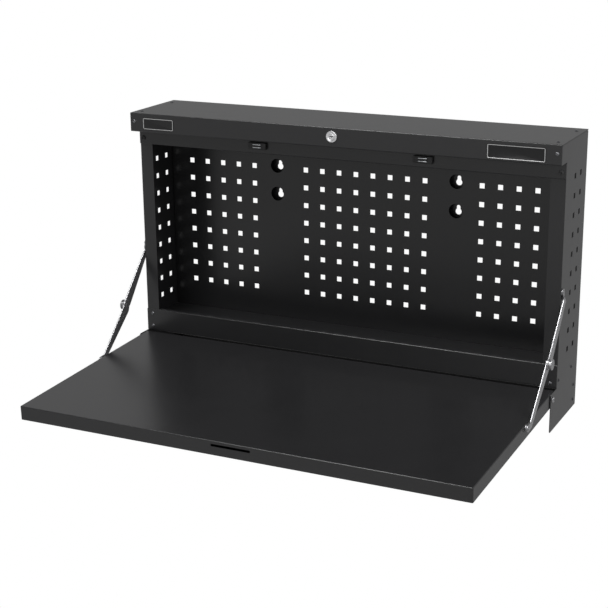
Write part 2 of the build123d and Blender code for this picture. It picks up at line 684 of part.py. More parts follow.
def spacer(pivot, start, stop):
    """Round spacer between a panel and an arm's eye."""
    tube = Circle(SPACER_RADIUS) - Circle(STAY_PIN)
    return extrude(Plane.YZ.offset(start) * (Pos(pivot) * tube), amount=stop - start)


def stud(pivot, seat, arm_outside):
    """Pivot stud: formed end inside the panel, shank through spacer and arm, head outside."""
    inner = disc(seat - STUD_HEAD_HEIGHT, pivot.X, pivot.Y, STUD_TAIL, STUD_HEAD_HEIGHT)
    outer_seat = arm_outside + SIDE_PLAY
    shank = disc(seat, pivot.X, pivot.Y, STAY_PIN, outer_seat - seat)
    outer = disc(outer_seat, pivot.X, pivot.Y, STUD_HEAD, STUD_HEAD_HEIGHT)
    return joined([inner, shank, outer])


def stay_spacer():
    """Right washer between the side panel and the upper arm's eye."""
    return spacer(UPPER_PIVOT, HALF_WIDTH, HALF_WIDTH + STAY_WASHER)


def stay_stud():
    """Right upper pivot of the stay."""
    return stud(UPPER_PIVOT, INNER_SIDE, UPPER_EYE_FACE + STAY_SHEET)


def table_spacer():
    """Right spacer on the worktop's edge."""
    return spacer(LOWER_PIVOT, TABLE_HALF_WIDTH, LOWER_ARM_FACE - SIDE_PLAY)


def table_stud():
    """Right lower pivot of the stay."""
    return stud(LOWER_PIVOT, TABLE_HALF_WIDTH - SHEET, LOWER_ARM_FACE + STAY_SHEET)


def lock_place(depth):
    """On the lock's axis at a depth from the wall, +Z out of the cabinet and +X level."""
    return Plane(origin=(0, -depth, LOCK_RISE), x_dir=(1, 0, 0), z_dir=(0, -1, 0)).location


BARREL_END = -CAM_PLANE + CAM_SHEET / 2 + SIDE_PLAY
PLUG_FRONT = BAND_DEPTH + LOCK_FACE_HEIGHT - LOCK_PLUG_RECESS


def lock_barrel():
    """Fixed barrel of the lock with its round face on the band."""
    face = lock_place(BAND_DEPTH) * Cylinder(LOCK_FACE, LOCK_FACE_HEIGHT, align=BAR_ALIGN)
    face = chamfer(face.edges().group_by(Axis.Y)[0], LOCK_FACE_EDGE)
    body = lock_place(BARREL_END) * Cylinder(LOCK_BARREL, BAND_DEPTH - BARREL_END, align=BAR_ALIGN)
    bore = lock_place(BARREL_END) * Cylinder(LOCK_PLUG + RUNNING_FIT, BAND_DEPTH, align=BAR_ALIGN)
    return face + body - bore


def lock_nut():
    """Nut that holds the barrel behind the band."""
    flat = RegularPolygon(LOCK_NUT_ACROSS / 2, 6, major_radius=False) - Circle(LOCK_BARREL)
    return lock_place(BAND_DEPTH - SHEET - LOCK_NUT_HEIGHT) * extrude(flat, amount=LOCK_NUT_HEIGHT)


def lock_plug():
    """Turning plug with a keyway, and a square end that carries the cam."""
    start = BARREL_END - SIDE_PLAY
    body = lock_place(start) * Cylinder(LOCK_PLUG, PLUG_FRONT - start, align=BAR_ALIGN)
    square = lock_place(start - CAM_SHEET) * extrude(Rectangle(CAM_SQUARE, CAM_SQUARE), amount=CAM_SHEET)
    keyway = lock_place(PLUG_FRONT - KEYWAY_DEPTH) * extrude(
        Rectangle(KEYWAY_LENGTH, KEYWAY_WIDTH), amount=KEYWAY_DEPTH,
    )
    screw_hole = lock_place(start - CAM_SHEET) * Cylinder(CAM_SCREW_SHANK, CAM_SCREW_DEPTH, align=BAR_ALIGN)
    return body + square - keyway - screw_hole


def lock_cam():
    """Flat cam, drawn unlocked: it lies level and turns down into the worktop's slot."""
    reach = LOCK_RISE - TABLE_CLOSED_EDGE + CAM_ENGAGEMENT
    half = CAM_WIDTH / 2
    bar = Pos(reach / 2, 0) * Rectangle(reach, CAM_WIDTH)
    bar = fillet(bar.vertices().group_by(Axis.X)[-1], half / 2)
    flat = bar + Circle(half) - Rectangle(CAM_SQUARE, CAM_SQUARE)
    return lock_place(-CAM_PLANE - CAM_SHEET / 2) * extrude(flat, amount=CAM_SHEET)


def cam_screw():
    """Screw that holds the cam on the plug."""
    seat = -CAM_PLANE - CAM_SHEET / 2
    head = lock_place(seat - CAM_SCREW_HEIGHT) * Cylinder(CAM_SCREW_HEAD, CAM_SCREW_HEIGHT, align=BAR_ALIGN)
    shank = lock_place(seat) * Cylinder(CAM_SCREW_SHANK, CAM_SCREW_DEPTH, align=BAR_ALIGN)
    return head + shank


CATCH_FACE = -TABLE_CLOSED_FACE - SIDE_PLAY
POLE_ROOT = CATCH_FACE - POLE_PROUD - POLE_DEPTH


def catch_plane(depth):
    """Right catch's middle at a depth from the wall, facing out of the cabinet."""
    middle = (CATCH_SPACING / 2, -depth, UPPER_RAIL_RISE + CATCH_RISE)
    return Plane(origin=middle, x_dir=(1, 0, 0), z_dir=(0, -1, 0))


def catch_housing():
    """Right catch body on the upper rail, with the pocket for magnet and poles."""
    outline = fillet(Rectangle(CATCH_WIDTH, CATCH_HEIGHT).vertices(), CATCH_CORNER)
    body = extrude(catch_plane(FRAME_DEPTH) * outline, amount=CATCH_FACE - POLE_PROUD - FRAME_DEPTH)
    pocket = Rectangle(POLE_LENGTH, POLE_PITCH + POLE_SHEET)
    return body - extrude(catch_plane(POLE_ROOT) * pocket, amount=POLE_DEPTH)


def catch_poles():
    """Right catch's two steel pole plates, a little proud of the housing."""
    return [
        extrude(
            catch_plane(POLE_ROOT) * Pos(0, side * POLE_PITCH / 2) * Rectangle(POLE_LENGTH, POLE_SHEET),
            amount=POLE_DEPTH + POLE_PROUD,
        )
        for side in (-1, 1)
    ]


def catch_magnet():
    """Right catch's magnet between the poles."""
    flat = Rectangle(POLE_LENGTH, POLE_PITCH - POLE_SHEET)
    return extrude(catch_plane(POLE_ROOT) * flat, amount=POLE_DEPTH)


def bumper():
    """Right rubber bumper on the upper rail, which the closed worktop meets."""
    middle = HALF_WIDTH - BUMPER_INSET - BUMPER_WIDTH / 2
    outline = fillet(Rectangle(BUMPER_WIDTH, BUMPER_HEIGHT).vertices(), BUMPER_CORNER)
    height = UPPER_RAIL_RISE + BUMPER_RISE
    seat = Plane(origin=(middle, -FRAME_DEPTH, height), x_dir=(1, 0, 0), z_dir=(0, -1, 0))
    pad = extrude(seat * outline, amount=CATCH_FACE - FRAME_DEPTH)
    return fillet(pad.edges().group_by(Axis.Y)[0], BUMPER_EDGE)


PAIRS = {
    "side_panel": side_panel,
    "mounting_channel": mounting_channel,
    "hinge_bolt": hinge_bolt,
    "upper_arm": upper_arm,
    "lower_arm": lower_arm,
    "elbow_knob": elbow_knob,
    "elbow_rivet": elbow_rivet,
    "stay_spacer": stay_spacer,
    "stay_stud": stay_stud,
    "table_spacer": table_spacer,
    "table_stud": table_stud,
    "catch_housing": catch_housing,
    "bumper": bumper,
}
SINGLES = {
    "back_panel": back_panel,
    "top_cover": top_cover,
    "upper_rail": upper_rail,
    "bottom_rail": bottom_rail,
    "floor_panel": floor_panel,
    "rear_crossbar": rear_crossbar,
    "worktop": worktop,
    "underside_skin": underside_skin,
    "lock_barrel": lock_barrel,
    "lock_nut": lock_nut,
    "lock_plug": lock_plug,
    "lock_cam": lock_cam,
    "cam_screw": cam_screw,
}


def build():
    """Every node's shape by its name."""
    nodes = {name: make() for name, make in SINGLES.items()}
    for name, make in PAIRS.items():
        nodes[f"right_{name}"], nodes[f"left_{name}"] = both(make())
    for name, reach in zip(("rear_stiffener", "front_stiffener"), STIFFENER_REACHES):
        nodes[name] = table_stiffener(reach)
    groups = {
        "hinge_nuts": both(hinge_nut()),
        "catch_magnets": both(catch_magnet()),
        "catch_poles": [twin for pole in catch_poles() for twin in both(pole)],
        "band_screws": fasteners(BAND_SCREWS),
        "rail_screws": fasteners(RAIL_SCREWS),
        "cover_rivets": fasteners(COVER_RIVETS),
        "floor_rivets": fasteners(FLOOR_RIVETS),
        "crossbar_rivets": fasteners(CROSSBAR_RIVETS),
    }
    for name, shapes in groups.items():
        nodes[name] = Compound(children=[solid for shape in shapes for solid in shape.solids()])
    return nodes


os.makedirs("parts", exist_ok=True)
for node, shape in build().items():
    export_step(shape, f"parts/{node}.step")
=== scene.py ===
"""Looks of a wall mounted folding workbench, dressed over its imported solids.

A folded sheet steel cabinet with a perforated back hangs on the wall. Its worktop hinges
down in front on two folding stays and is locked shut by a cam. Sizes are in millimetres
until MM turns them to the frame's metres. X runs right, Y into the wall and Z up.
"""

import logging
import math
from collections.abc import Callable, Iterable, Sequence
from dataclasses import dataclass
from enum import Enum

import bmesh
import bpy
import numpy
from mathutils import Matrix, Vector


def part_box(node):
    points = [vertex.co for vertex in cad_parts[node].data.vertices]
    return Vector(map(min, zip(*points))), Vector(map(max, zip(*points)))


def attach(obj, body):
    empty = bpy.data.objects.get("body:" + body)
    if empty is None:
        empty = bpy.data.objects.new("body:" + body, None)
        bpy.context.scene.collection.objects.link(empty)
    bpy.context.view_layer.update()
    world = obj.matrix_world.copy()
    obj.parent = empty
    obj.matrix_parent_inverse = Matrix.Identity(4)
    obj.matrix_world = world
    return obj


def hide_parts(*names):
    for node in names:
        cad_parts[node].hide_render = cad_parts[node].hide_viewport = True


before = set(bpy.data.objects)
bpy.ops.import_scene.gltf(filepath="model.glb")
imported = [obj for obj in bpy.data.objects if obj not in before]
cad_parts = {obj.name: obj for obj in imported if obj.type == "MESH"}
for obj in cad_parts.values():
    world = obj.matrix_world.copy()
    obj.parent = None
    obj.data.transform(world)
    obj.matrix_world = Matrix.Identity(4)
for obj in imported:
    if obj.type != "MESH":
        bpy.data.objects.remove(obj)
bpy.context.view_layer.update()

MM = 0.001
LOG = logging.getLogger("folding_workbench")

Span = tuple[float, float]
Profile = Sequence[Span]
Colour = tuple[float, float, float, float]
SocketValue = bpy.types.NodeSocket | float | Sequence[float]

# Socket numbers of the Mix node when it mixes colours, then when it mixes numbers
MIX_FACTOR, MIX_FIRST, MIX_SECOND, MIX_RESULT = 0, 6, 7, 2
MIX_LOW, MIX_HIGH, MIX_NUMBER = 2, 3, 0

# The sRGB standard's straight part near black, and its curve above
SRGB_TOE, SRGB_TOE_SLOPE, SRGB_OFFSET, SRGB_POWER = 0.04045, 12.92, 0.055, 2.4
BYTE = 255

# Noise of the finishes: octaves and falloff of the patches, the part used, octaves of the bumps
PATCH_DETAIL, PATCH_FALLOFF = 4.0, 0.6
PATCH_LOW, PATCH_HIGH = 0.3, 0.7
GRAIN_DETAIL = 2.0

# Directions in the frame
RIGHT, INTO_WALL, OUT_OF_WALL, UP = (1, 0, 0), (0, 1, 0), (0, -1, 0), (0, 0, 1)


class Side(Enum):
    """The two ends of the bench, with the sign of X there."""

    LEFT = -1
    RIGHT = 1

    @property
    def word(self) -> str:
        """The side's word in node and piece names."""
        return self.name.lower()


class Slot(Enum):
    """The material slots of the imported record."""

    COAT = "black_powder_coat"
    FASTENER = "black_fastener"
    ZINC = "zinc_plate"
    CHROME = "lock_chrome"
    POLE = "pole_steel"
    MAGNET = "magnet"
    RUBBER = "bumper_rubber"
    PLASTIC = "catch_plastic"


def linear(colour: str) -> Colour:
    """Turn an sRGB hex colour to linear light.

    Args:
        colour: Six hex digits after a hash.

    Returns:
        Red, green, blue and an alpha of one.
    """
    light = []
    for start in (1, 3, 5):
        part = int(colour[start:start + 2], 16) / BYTE
        if part <= SRGB_TOE:
            light.append(part / SRGB_TOE_SLOPE)
        else:
            light.append(((part + SRGB_OFFSET) / (1 + SRGB_OFFSET)) ** SRGB_POWER)
    return (*light, 1.0)


def per_metre(size_mm: float) -> float:
    """Scale of a texture whose features are about this size."""
    return 1 / (size_mm * MM)


def add_node(
    tree: bpy.types.NodeTree,
    kind: str,
    inputs: dict[str | int, SocketValue] | None = None,
    **settings: object,
) -> bpy.types.Node:
    """Add a shader node with its settings, values and links.

    Args:
        tree: Tree that the node goes into.
        kind: Blender's name for the node type.
        inputs: Value or source socket for each named or numbered input.
        settings: Properties of the node itself.

    Returns:
        The new node.
    """
    node = tree.nodes.new(kind)
    for name, value in settings.items():
        setattr(node, name, value)
    for key, value in (inputs or {}).items():
        if isinstance(value, bpy.types.NodeSocket):
            tree.links.new(value, node.inputs[key])
        else:
            node.inputs[key].default_value = value
    return node


def empty_tree(owner: bpy.types.Material | bpy.types.World) -> bpy.types.NodeTree:
    """Give a material or a world an empty node tree.

    Args:
        owner: The material or world.

    Returns:
        Its tree.
    """
    owner.use_nodes = True
    owner.node_tree.nodes.clear()
    return owner.node_tree


@dataclass(frozen=True)
class Finish:
    """A surface finish, drawn by one procedural material.

    Attributes:
        name: Material name, from the stuff and how its surface was made.
        slot: The record's material slot.
        colour: Main colour.
        second: Colour that it drifts to in broad patches.
        patch_mm: Size of those patches.
        roughness: Mean roughness.
        roughness_swing: How far the roughness drifts each way.
        metallic: One for bare or plated metal.
        specular: Specular level of the shader.
        relief_mm: Width of the surface's small bumps.
        relief_height_mm: Height of those bumps.
        stretch: How many times longer the bumps are along each axis.
    """

    name: str
    slot: Slot
    colour: str
    second: str
    patch_mm: float
    roughness: float
    roughness_swing: float
    metallic: float
    specular: float
    relief_mm: float
    relief_height_mm: float
    stretch: tuple[float, float, float] = (1.0, 1.0, 1.0)

    def material(self) -> bpy.types.Material:
        """Make the material on first use.

        Returns:
            The finish's one material.
        """
        made = bpy.data.materials.get(self.name)
        if made is None:
            made = bpy.data.materials.new(self.name)
            self.draw(empty_tree(made))
        return made

    def draw(self, tree: bpy.types.NodeTree) -> None:
        """Add the nodes: patches drive colour and roughness, fine noise drives the bumps.

        Args:
            tree: Empty node tree of the material.
        """
        place = add_node(tree, "ShaderNodeTexCoord").outputs["Object"]
        patches = add_node(
            tree, "ShaderNodeTexNoise",
            {
                "Vector": place, "Scale": per_metre(self.patch_mm),
                "Detail": PATCH_DETAIL, "Roughness": PATCH_FALLOFF,
            },
        ).outputs["Fac"]
        colour = add_node(
            tree, "ShaderNodeMix",
            {MIX_FACTOR: patches, MIX_FIRST: linear(self.colour), MIX_SECOND: linear(self.second)},
            data_type="RGBA",
        ).outputs[MIX_RESULT]
        roughness = add_node(
            tree, "ShaderNodeMapRange",
            {
                "Value": patches, "From Min": PATCH_LOW, "From Max": PATCH_HIGH,
                "To Min": self.roughness - self.roughness_swing,
                "To Max": self.roughness + self.roughness_swing,
            },
        ).outputs["Result"]
        shrink = tuple(1 / times for times in self.stretch)
        drawn_out = add_node(
            tree, "ShaderNodeMapping", {"Vector": place, "Scale": shrink},
        ).outputs["Vector"]
        grain = add_node(
            tree, "ShaderNodeTexNoise",
            {"Vector": drawn_out, "Scale": per_metre(self.relief_mm), "Detail": GRAIN_DETAIL},
        ).outputs["Fac"]
        bumps = add_node(
            tree, "ShaderNodeBump",
            {"Height": grain, "Strength": 1.0, "Distance": self.relief_height_mm * MM},
        ).outputs["Normal"]
        shader = add_node(
            tree, "ShaderNodeBsdfPrincipled",
            {
                "Base Color": colour, "Roughness": roughness, "Normal": bumps,
                "Metallic": self.metallic, "Specular IOR Level": self.specular,
            },
        ).outputs["BSDF"]
        add_node(tree, "ShaderNodeOutputMaterial", {"Surface": shader})


# Powder sprayed on steel sheet and baked: black, satin, with a faint orange peel. The peel is
# drawn near 3 mm, coarser than the real 1 mm, so that it still breaks up the reflections here.
POWDER_COAT = Finish(
    name="polyester_powder_coat_baked", slot=Slot.COAT, colour="#161617", second="#1b1b1c", patch_mm=60,
    roughness=0.29, roughness_swing=0.01, metallic=0.0, specular=0.5, relief_mm=3.0, relief_height_mm=0.004,
)

# Painted shade: the bar under the cabinet is drawn near black and dull, standing in for the shade behind
# the worktop.
CROSSBAR_SHADE = Finish(
    name="crossbar_painted_shade", slot=Slot.COAT, colour="#0a0a0a", second="#0e0e0e", patch_mm=40,
    roughness=0.62, roughness_swing=0.05, metallic=0.0, specular=0.2, relief_mm=2.0, relief_height_mm=0.004,
)

# Blind rivets in black zinc: darker than bare metal, with soft glints.
BLACK_ZINC = Finish(
    name="steel_black_zinc_plated", slot=Slot.FASTENER, colour="#525356", second="#434447", patch_mm=4,
    roughness=0.32, roughness_swing=0.06, metallic=0.8, specular=0.5, relief_mm=1.2, relief_height_mm=0.01,
)

# Small screws in black nickel: a smoky mirror, so each head carries one sharp glint.
BLACK_NICKEL = Finish(
    name="steel_black_nickel_plated", slot=Slot.FASTENER, colour="#7c7c7f", second="#6c6c6f", patch_mm=4,
    roughness=0.26, roughness_swing=0.04, metallic=1.0, specular=0.5, relief_mm=1.2, relief_height_mm=0.003,
)

# Blanked steel strip in bright zinc: pale, slightly cool, with cloudy patches of sheen.
BRIGHT_ZINC = Finish(
    name="steel_bright_zinc_plated", slot=Slot.ZINC, colour="#a9a9ab", second="#98989a", patch_mm=14,
    roughness=0.29, roughness_swing=0.05, metallic=0.85, specular=0.5,
    relief_mm=1.6, relief_height_mm=0.003,
)

# Die-cast lock face, polished and chromed: nearly a mirror, a little hazy from handling.
LOCK_CHROME = Finish(
    name="zinc_die_casting_chromed", slot=Slot.CHROME, colour="#e6e6e7", second="#d6d6d8", patch_mm=7,
    roughness=0.26, roughness_swing=0.05, metallic=1.0, specular=0.5, relief_mm=2.0, relief_height_mm=0.006,
)

# Painted shade inside the keyway: black and dull, so that the slot reads dark instead of showing
# reflections off its chromed walls.
KEYWAY_SHADE = Finish(
    name="keyway_painted_shade", slot=Slot.CHROME, colour="#0a0a0a", second="#0e0e0e", patch_mm=4,
    roughness=0.62, roughness_swing=0.05, metallic=0.0, specular=0.2, relief_mm=0.6, relief_height_mm=0.004,
)

# Pole plates ground flat along their length: grey steel with fine lines left to right.
GROUND_STEEL = Finish(
    name="mild_steel_ground", slot=Slot.POLE, colour="#b9bbbd", second="#a7a9ac", patch_mm=5,
    roughness=0.30, roughness_swing=0.08, metallic=1.0, specular=0.5, relief_mm=0.5, relief_height_mm=0.006,
    stretch=(24.0, 1.0, 1.0),
)

# Pressed and fired ferrite: charcoal, matt and finely granular.
FERRITE = Finish(
    name="ferrite_pressed", slot=Slot.MAGNET, colour="#2a2a2b", second="#343435", patch_mm=3,
    roughness=0.75, roughness_swing=0.08, metallic=0.0, specular=0.4, relief_mm=0.6, relief_height_mm=0.03,
)

# Moulded nitrile rubber: a dark grey that scatters light, with a dusty bloom.
RUBBER = Finish(
    name="nitrile_rubber_moulded", slot=Slot.RUBBER, colour="#343435", second="#3c3c3d", patch_mm=6,
    roughness=0.72, roughness_swing=0.08, metallic=0.0, specular=0.35, relief_mm=0.9, relief_height_mm=0.03,
)

# Black ABS from a spark-eroded mould: fine even grain that dulls the highlights.
ABS = Finish(
    name="abs_moulded_spark_grain", slot=Slot.PLASTIC, colour="#19191a", second="#1f1f20", patch_mm=10,
    roughness=0.50, roughness_swing=0.05, metallic=0.0, specular=0.4, relief_mm=0.8, relief_height_mm=0.025,
)

# Lacquered aluminium plate: smooth black face, a touch glossier than the sheet behind it.
PLATE_LACQUER = Finish(
    name="aluminium_black_lacquered", slot=Slot.COAT, colour="#0f0f10", second="#141415", patch_mm=18,
    roughness=0.30, roughness_swing=0.03, metallic=0.0, specular=0.35,
    relief_mm=2.5, relief_height_mm=0.004,
)

# The plate's raised rim, where the lacquer is wiped off: bare brushed aluminium.
PLATE_RIM = Finish(
    name="aluminium_brushed", slot=Slot.COAT, colour="#d2d2d2", second="#c0c0c0", patch_mm=6,
    roughness=0.38, roughness_swing=0.05, metallic=1.0, specular=0.5, relief_mm=0.5, relief_height_mm=0.005,
    stretch=(20.0, 1.0, 1.0),
)

# How finely shapes are turned, merged, shaded and rounded
SPIN_STEPS = 40
MERGE_MM = 0.002
SHARP_ANGLE = math.radians(35)
FLAT_ANGLE = math.radians(1)
ROUND_PROFILE = 0.5
EDGE_STEPS = 2
CORNER_STEPS = 6

# Outlines of turned ends, as shares of a radius and of a height
PAN_HEAD = ((0, 1), (0.45, 0.97), (0.72, 0.82), (0.91, 0.54), (1, 0.2), (1, 0))
RIVET_STEM = ((0, 0.55), (0.85, 0.5), (1, 0.55), (1, 0.88), (1.25, 0.98))
RIVET_HEAD = ((0.6, 0.86), (0.85, 0.52), (1, 0.14), (1, 0))
BUTTON_HEAD = ((0.55, 1), (0.72, 0.93), (0.9, 0.66), (1, 0.25), (1, 0))
BUMPER_DOME = ((0.62, 0.97), (0.86, 0.78), (0.98, 0.4), (1, 0))
STUD_HEAD = ((0, 1), (0.45, 0.95), (0.78, 0.74), (0.95, 0.4), (1, 0.12), (1, 0))
UPSET_END = ((1, 1), (1, 0.4), (0.8, 0), (0, 0))
ELBOW_HEAD = ((0, 0), (0.45, 0.05), (0.78, 0.3), (0.96, 0.7), (1, 1))
KNOB_RIM = ((0.88, 0), (0.96, 0.12), (1, 0.3), (1, 0.7), (0.96, 0.88))
KNOB_DISH = ((0.88, 1), (0.7, 1), (0.62, 0), (0, 0))

# Outlines of the lock's face and plug, as shares of a radius and millimetres from the front
LOCK_FACE = ((0.66, -0.5), (0.74, -0.12), (0.80, 0), (0.92, 0), (0.975, -0.3), (1, -0.9))
PLUG_NOSE = ((0, 0), (0.88, 0), (0.96, -0.15), (1, -0.5))


def scaled(outline: Profile, radius: float, height: float, base: float = 0.0) -> Profile:
    """Corners of an outline at its real radius and height, standing on a base."""
    return [(share * radius, base + rise * height) for share, rise in outline]


def box_mm(node: str) -> tuple[Vector, Vector]:
    """Low and high corner of a CAD node's box, in millimetres."""
    low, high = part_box(node)
    return low / MM, high / MM


def frame_place(origin: Sequence[float], outward: Sequence[float], level: Sequence[float]) -> Matrix:
    """Place of a shape whose +Z points outwards.

    Args:
        origin: Point in millimetres.
        outward: Direction of the shape's +Z.
        level: Direction of the shape's +X.

    Returns:
        Matrix from the shape's millimetres to the frame's metres.
    """
    z_axis = Vector(outward).normalized()
    x_axis = Vector(level).normalized()
    turn = Matrix((x_axis, z_axis.cross(x_axis), z_axis)).transposed().to_4x4()
    return Matrix.Scale(MM, 4) @ Matrix.Translation(Vector(origin)) @ turn


def seal(shape: bmesh.types.BMesh) -> None:
    """Merge doubled vertices, then turn every face outwards.

    Args:
        shape: Shape in millimetres.
    """
    bmesh.ops.remove_doubles(shape, verts=shape.verts, dist=MERGE_MM)
    bmesh.ops.recalc_face_normals(shape, faces=shape.faces)


def turned(profile: Profile, closed: bool = False) -> bmesh.types.BMesh:
    """Spin a lathe profile round Z.

    Args:
        profile: Radius and height of each corner, in millimetres.
        closed: Whether the last corner joins the first, for a ring.

    Returns:
        The turned shape.
    """
    shape = bmesh.new()
    corners = [shape.verts.new((radius, 0, height)) for radius, height in profile]
    pairs = list(zip(corners, corners[1:]))
    if closed:
        pairs.append((corners[-1], corners[0]))
    edges = [shape.edges.new(pair) for pair in pairs]
    bmesh.ops.spin(
        shape, geom=corners + edges, axis=(0, 0, 1), cent=(0, 0, 0), dvec=(0, 0, 0),
        angle=math.tau, steps=SPIN_STEPS, use_merge=True, use_duplicate=False,
    )
    seal(shape)
    return shape


def score(shape: bmesh.types.BMesh, axis: Sequence[float], offsets: Iterable[float]) -> None:
    """Cut new edges across a shape on parallel planes.

    Args:
        shape: Shape to cut; it stays whole.
        axis: Normal of the planes.
        offsets: Distance of each plane from the origin.
    """
    for offset in offsets:
        everything = [*shape.verts, *shape.edges, *shape.faces]
        bmesh.ops.bisect_plane(
            shape, geom=everything, dist=MERGE_MM, plane_co=Vector(axis) * offset, plane_no=axis,
        )


def sink(shape: bmesh.types.BMesh, faces: list[bmesh.types.BMFace], depth: float, draft: float) -> None:
    """Push a patch of faces straight down into a shape, narrowing as it goes.

    Args:
        shape: Shape that holds the faces.
        faces: The patch, facing +Z.
        depth: How far its floor goes down, in millimetres.
        draft: Share of its width that the floor keeps.
    """
    made = bmesh.ops.extrude_face_region(shape, geom=faces)["geom"]
    floor = [part for part in made if isinstance(part, bmesh.types.BMVert)]
    bmesh.ops.delete(shape, geom=faces, context="FACES")
    bmesh.ops.scale(shape, vec=(draft, draft, 1), verts=floor)
    bmesh.ops.translate(shape, vec=(0, 0, -depth), verts=floor)


def round_edges(
    shape: bmesh.types.BMesh, edges: list[bmesh.types.BMEdge], width: float, steps: int,
) -> None:
    """Round off some edges of a shape.

    Args:
        shape: Shape that holds the edges.
        edges: The edges.
        width: Width of the rounding, in the shape's unit.
        steps: Faces across the rounding.
    """
    bmesh.ops.bevel(
        shape, geom=edges, offset=width, offset_type="OFFSET", affect="EDGES",
        segments=steps, profile=ROUND_PROFILE, material=-1, clamp_overlap=True,
    )


def finish_mesh(shape: bmesh.types.BMesh, name: str) -> bpy.types.Mesh:
    """Turn a finished bmesh into a smooth shaded mesh with crisp corners.

    Args:
        shape: Shape in the frame's metres; it is freed.
        name: Name of the mesh.

    Returns:
        The mesh.
    """
    for face in shape.faces:
        face.smooth = True
    mesh = bpy.data.meshes.new(name)
    shape.to_mesh(mesh)
    shape.free()
    mesh.set_sharp_from_angle(angle=SHARP_ANGLE)
    return mesh


def add_object(name: str, data: bpy.types.ID) -> bpy.types.Object:
    """Put a new object in the scene.

    Args:
        name: Name of the object.
        data: Its mesh, light or camera.

    Returns:
        The object.
    """
    made = bpy.data.objects.new(name, data)
    bpy.context.scene.collection.objects.link(made)
    return made


def add_piece(
    name: str,
    mesh: bpy.types.Mesh,
    body: str,
    finishes: Sequence[Finish],
    replaced: Sequence[str] = (),
) -> None:
    """Put a new piece in the scene, on its body.

    Args:
        name: Name of the piece.
        mesh: Its mesh, already in place.
        body: CAD body that it rides on.
        finishes: Its finishes in the order of the faces' material numbers.
        replaced: CAD nodes that it stands for.
    """
    piece = add_object(name, mesh)
    for finish in finishes:
        mesh.materials.append(finish.material())
    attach(piece, body)
    if replaced:
        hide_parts(*replaced)
    LOG.info("piece %s on %s, %d faces, %s", name, body, len(mesh.polygons), finishes[0].name)


def add_copies(
    name: str,
    shape: bmesh.types.BMesh,
    places: Sequence[Matrix],
    body: str,
    finish: Finish,
    replaced: Sequence[str],
) -> None:
    """Put one piece in the scene that holds a shape at several places.

    Args:
        name: Name of the piece.
        shape: Shape in millimetres; it is freed.
        places: Place of each copy.
        body: CAD body that the piece rides on.
        finish: Its finish.
        replaced: CAD nodes that it stands for.
    """
    single = bpy.data.meshes.new(name)
    shape.to_mesh(single)
    shape.free()
    group = bmesh.new()
    for place in places:
        before = len(group.verts)
        group.from_mesh(single)
        group.verts.ensure_lookup_table()
        bmesh.ops.transform(group, matrix=place, verts=group.verts[before:])
    bpy.data.meshes.remove(single)
    add_piece(name, finish_mesh(group, name), body, [finish], replaced)


def dress(node: str, finish: Finish) -> None:
    """Give a CAD node its finish.

    Args:
        node: Name of the node.
        finish: Finish for all of it.
    """
    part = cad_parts[node]
    for slot in part.material_slots:
        slot.material = finish.material()
    LOG.info("node %s, %s", node, finish.name)


def soften(
    node: str,
    body: str,
    finish: Finish,
    edge_mm: float,
    reshape: Callable[[bmesh.types.BMesh], None] | None = None,
) -> None:
    """Stand in for a CAD node with a copy whose sharp edges are rounded.

    Args:
        node: Name of the node.
        body: CAD body that it rides on.
        finish: Its finish.
        edge_mm: Width of the rounding.
        reshape: Changes the copy, in metres, before its edges are rounded.
    """
    shape = bmesh.new()
    shape.from_mesh(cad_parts[node].data)
    bmesh.ops.remove_doubles(shape, verts=shape.verts, dist=MERGE_MM * MM)
    bmesh.ops.dissolve_limit(
        shape, angle_limit=FLAT_ANGLE, verts=shape.verts, edges=shape.edges, use_dissolve_boundaries=False,
    )
    if reshape:
        reshape(shape)
    sharp = [edge for edge in shape.edges if edge.calc_face_angle(0) > SHARP_ANGLE]
    round_edges(shape, sharp, edge_mm * MM, EDGE_STEPS)
    name = f"{node}_rounded"
    add_piece(name, finish_mesh(shape, name), body, [finish], [node])


@dataclass(frozen=True)
class ScrewSize:
    """Sizes of a pan head screw with a cross recess, in millimetres."""

    head: float = 3.6
    height: float = 1.4
    shank: float = 2.0
    tail: float = 4.0
    pitch: float = 0.8
    thread: float = 0.3
    recess_length: float = 2.1
    recess_width: float = 0.55
    recess_depth: float = 0.8
    recess_draft: float = 0.7

    def shape(self) -> bmesh.types.BMesh:
        """Turn the screw, with its seat at the origin and its head along +Z.

        Returns:
            The screw with rings for its thread and the cross sunk in its head.
        """
        core = self.shank - self.thread
        profile = [*scaled(PAN_HEAD, self.head, self.height), (self.shank, 0)]
        for turn in range(int(self.tail / self.pitch)):
            crest = -self.pitch * turn
            profile += [(core, crest - self.pitch / 2), (self.shank, crest - self.pitch)]
        profile += [(core, -self.tail), (0, -self.tail)]
        screw = turned(profile)
        edges = (-self.recess_length, -self.recess_width, self.recess_width, self.recess_length)
        for axis in ((1, 0, 0), (0, 1, 0)):
            score(screw, axis, edges)
        cross = [face for face in screw.faces if self.in_recess(face)]
        sink(screw, cross, self.recess_depth, self.recess_draft)
        seal(screw)
        return screw

    def in_recess(self, face: bmesh.types.BMFace) -> bool:
        """Find the faces of the cross.

        Args:
            face: A face of the screw.

        Returns:
            Whether it lies on the head, in the cross.
        """
        middle = face.calc_center_median()
        across, along = sorted((abs(middle.x), abs(middle.y)))
        inside = across < self.recess_width and along < self.recess_length
        return inside and middle.z > self.height / 2


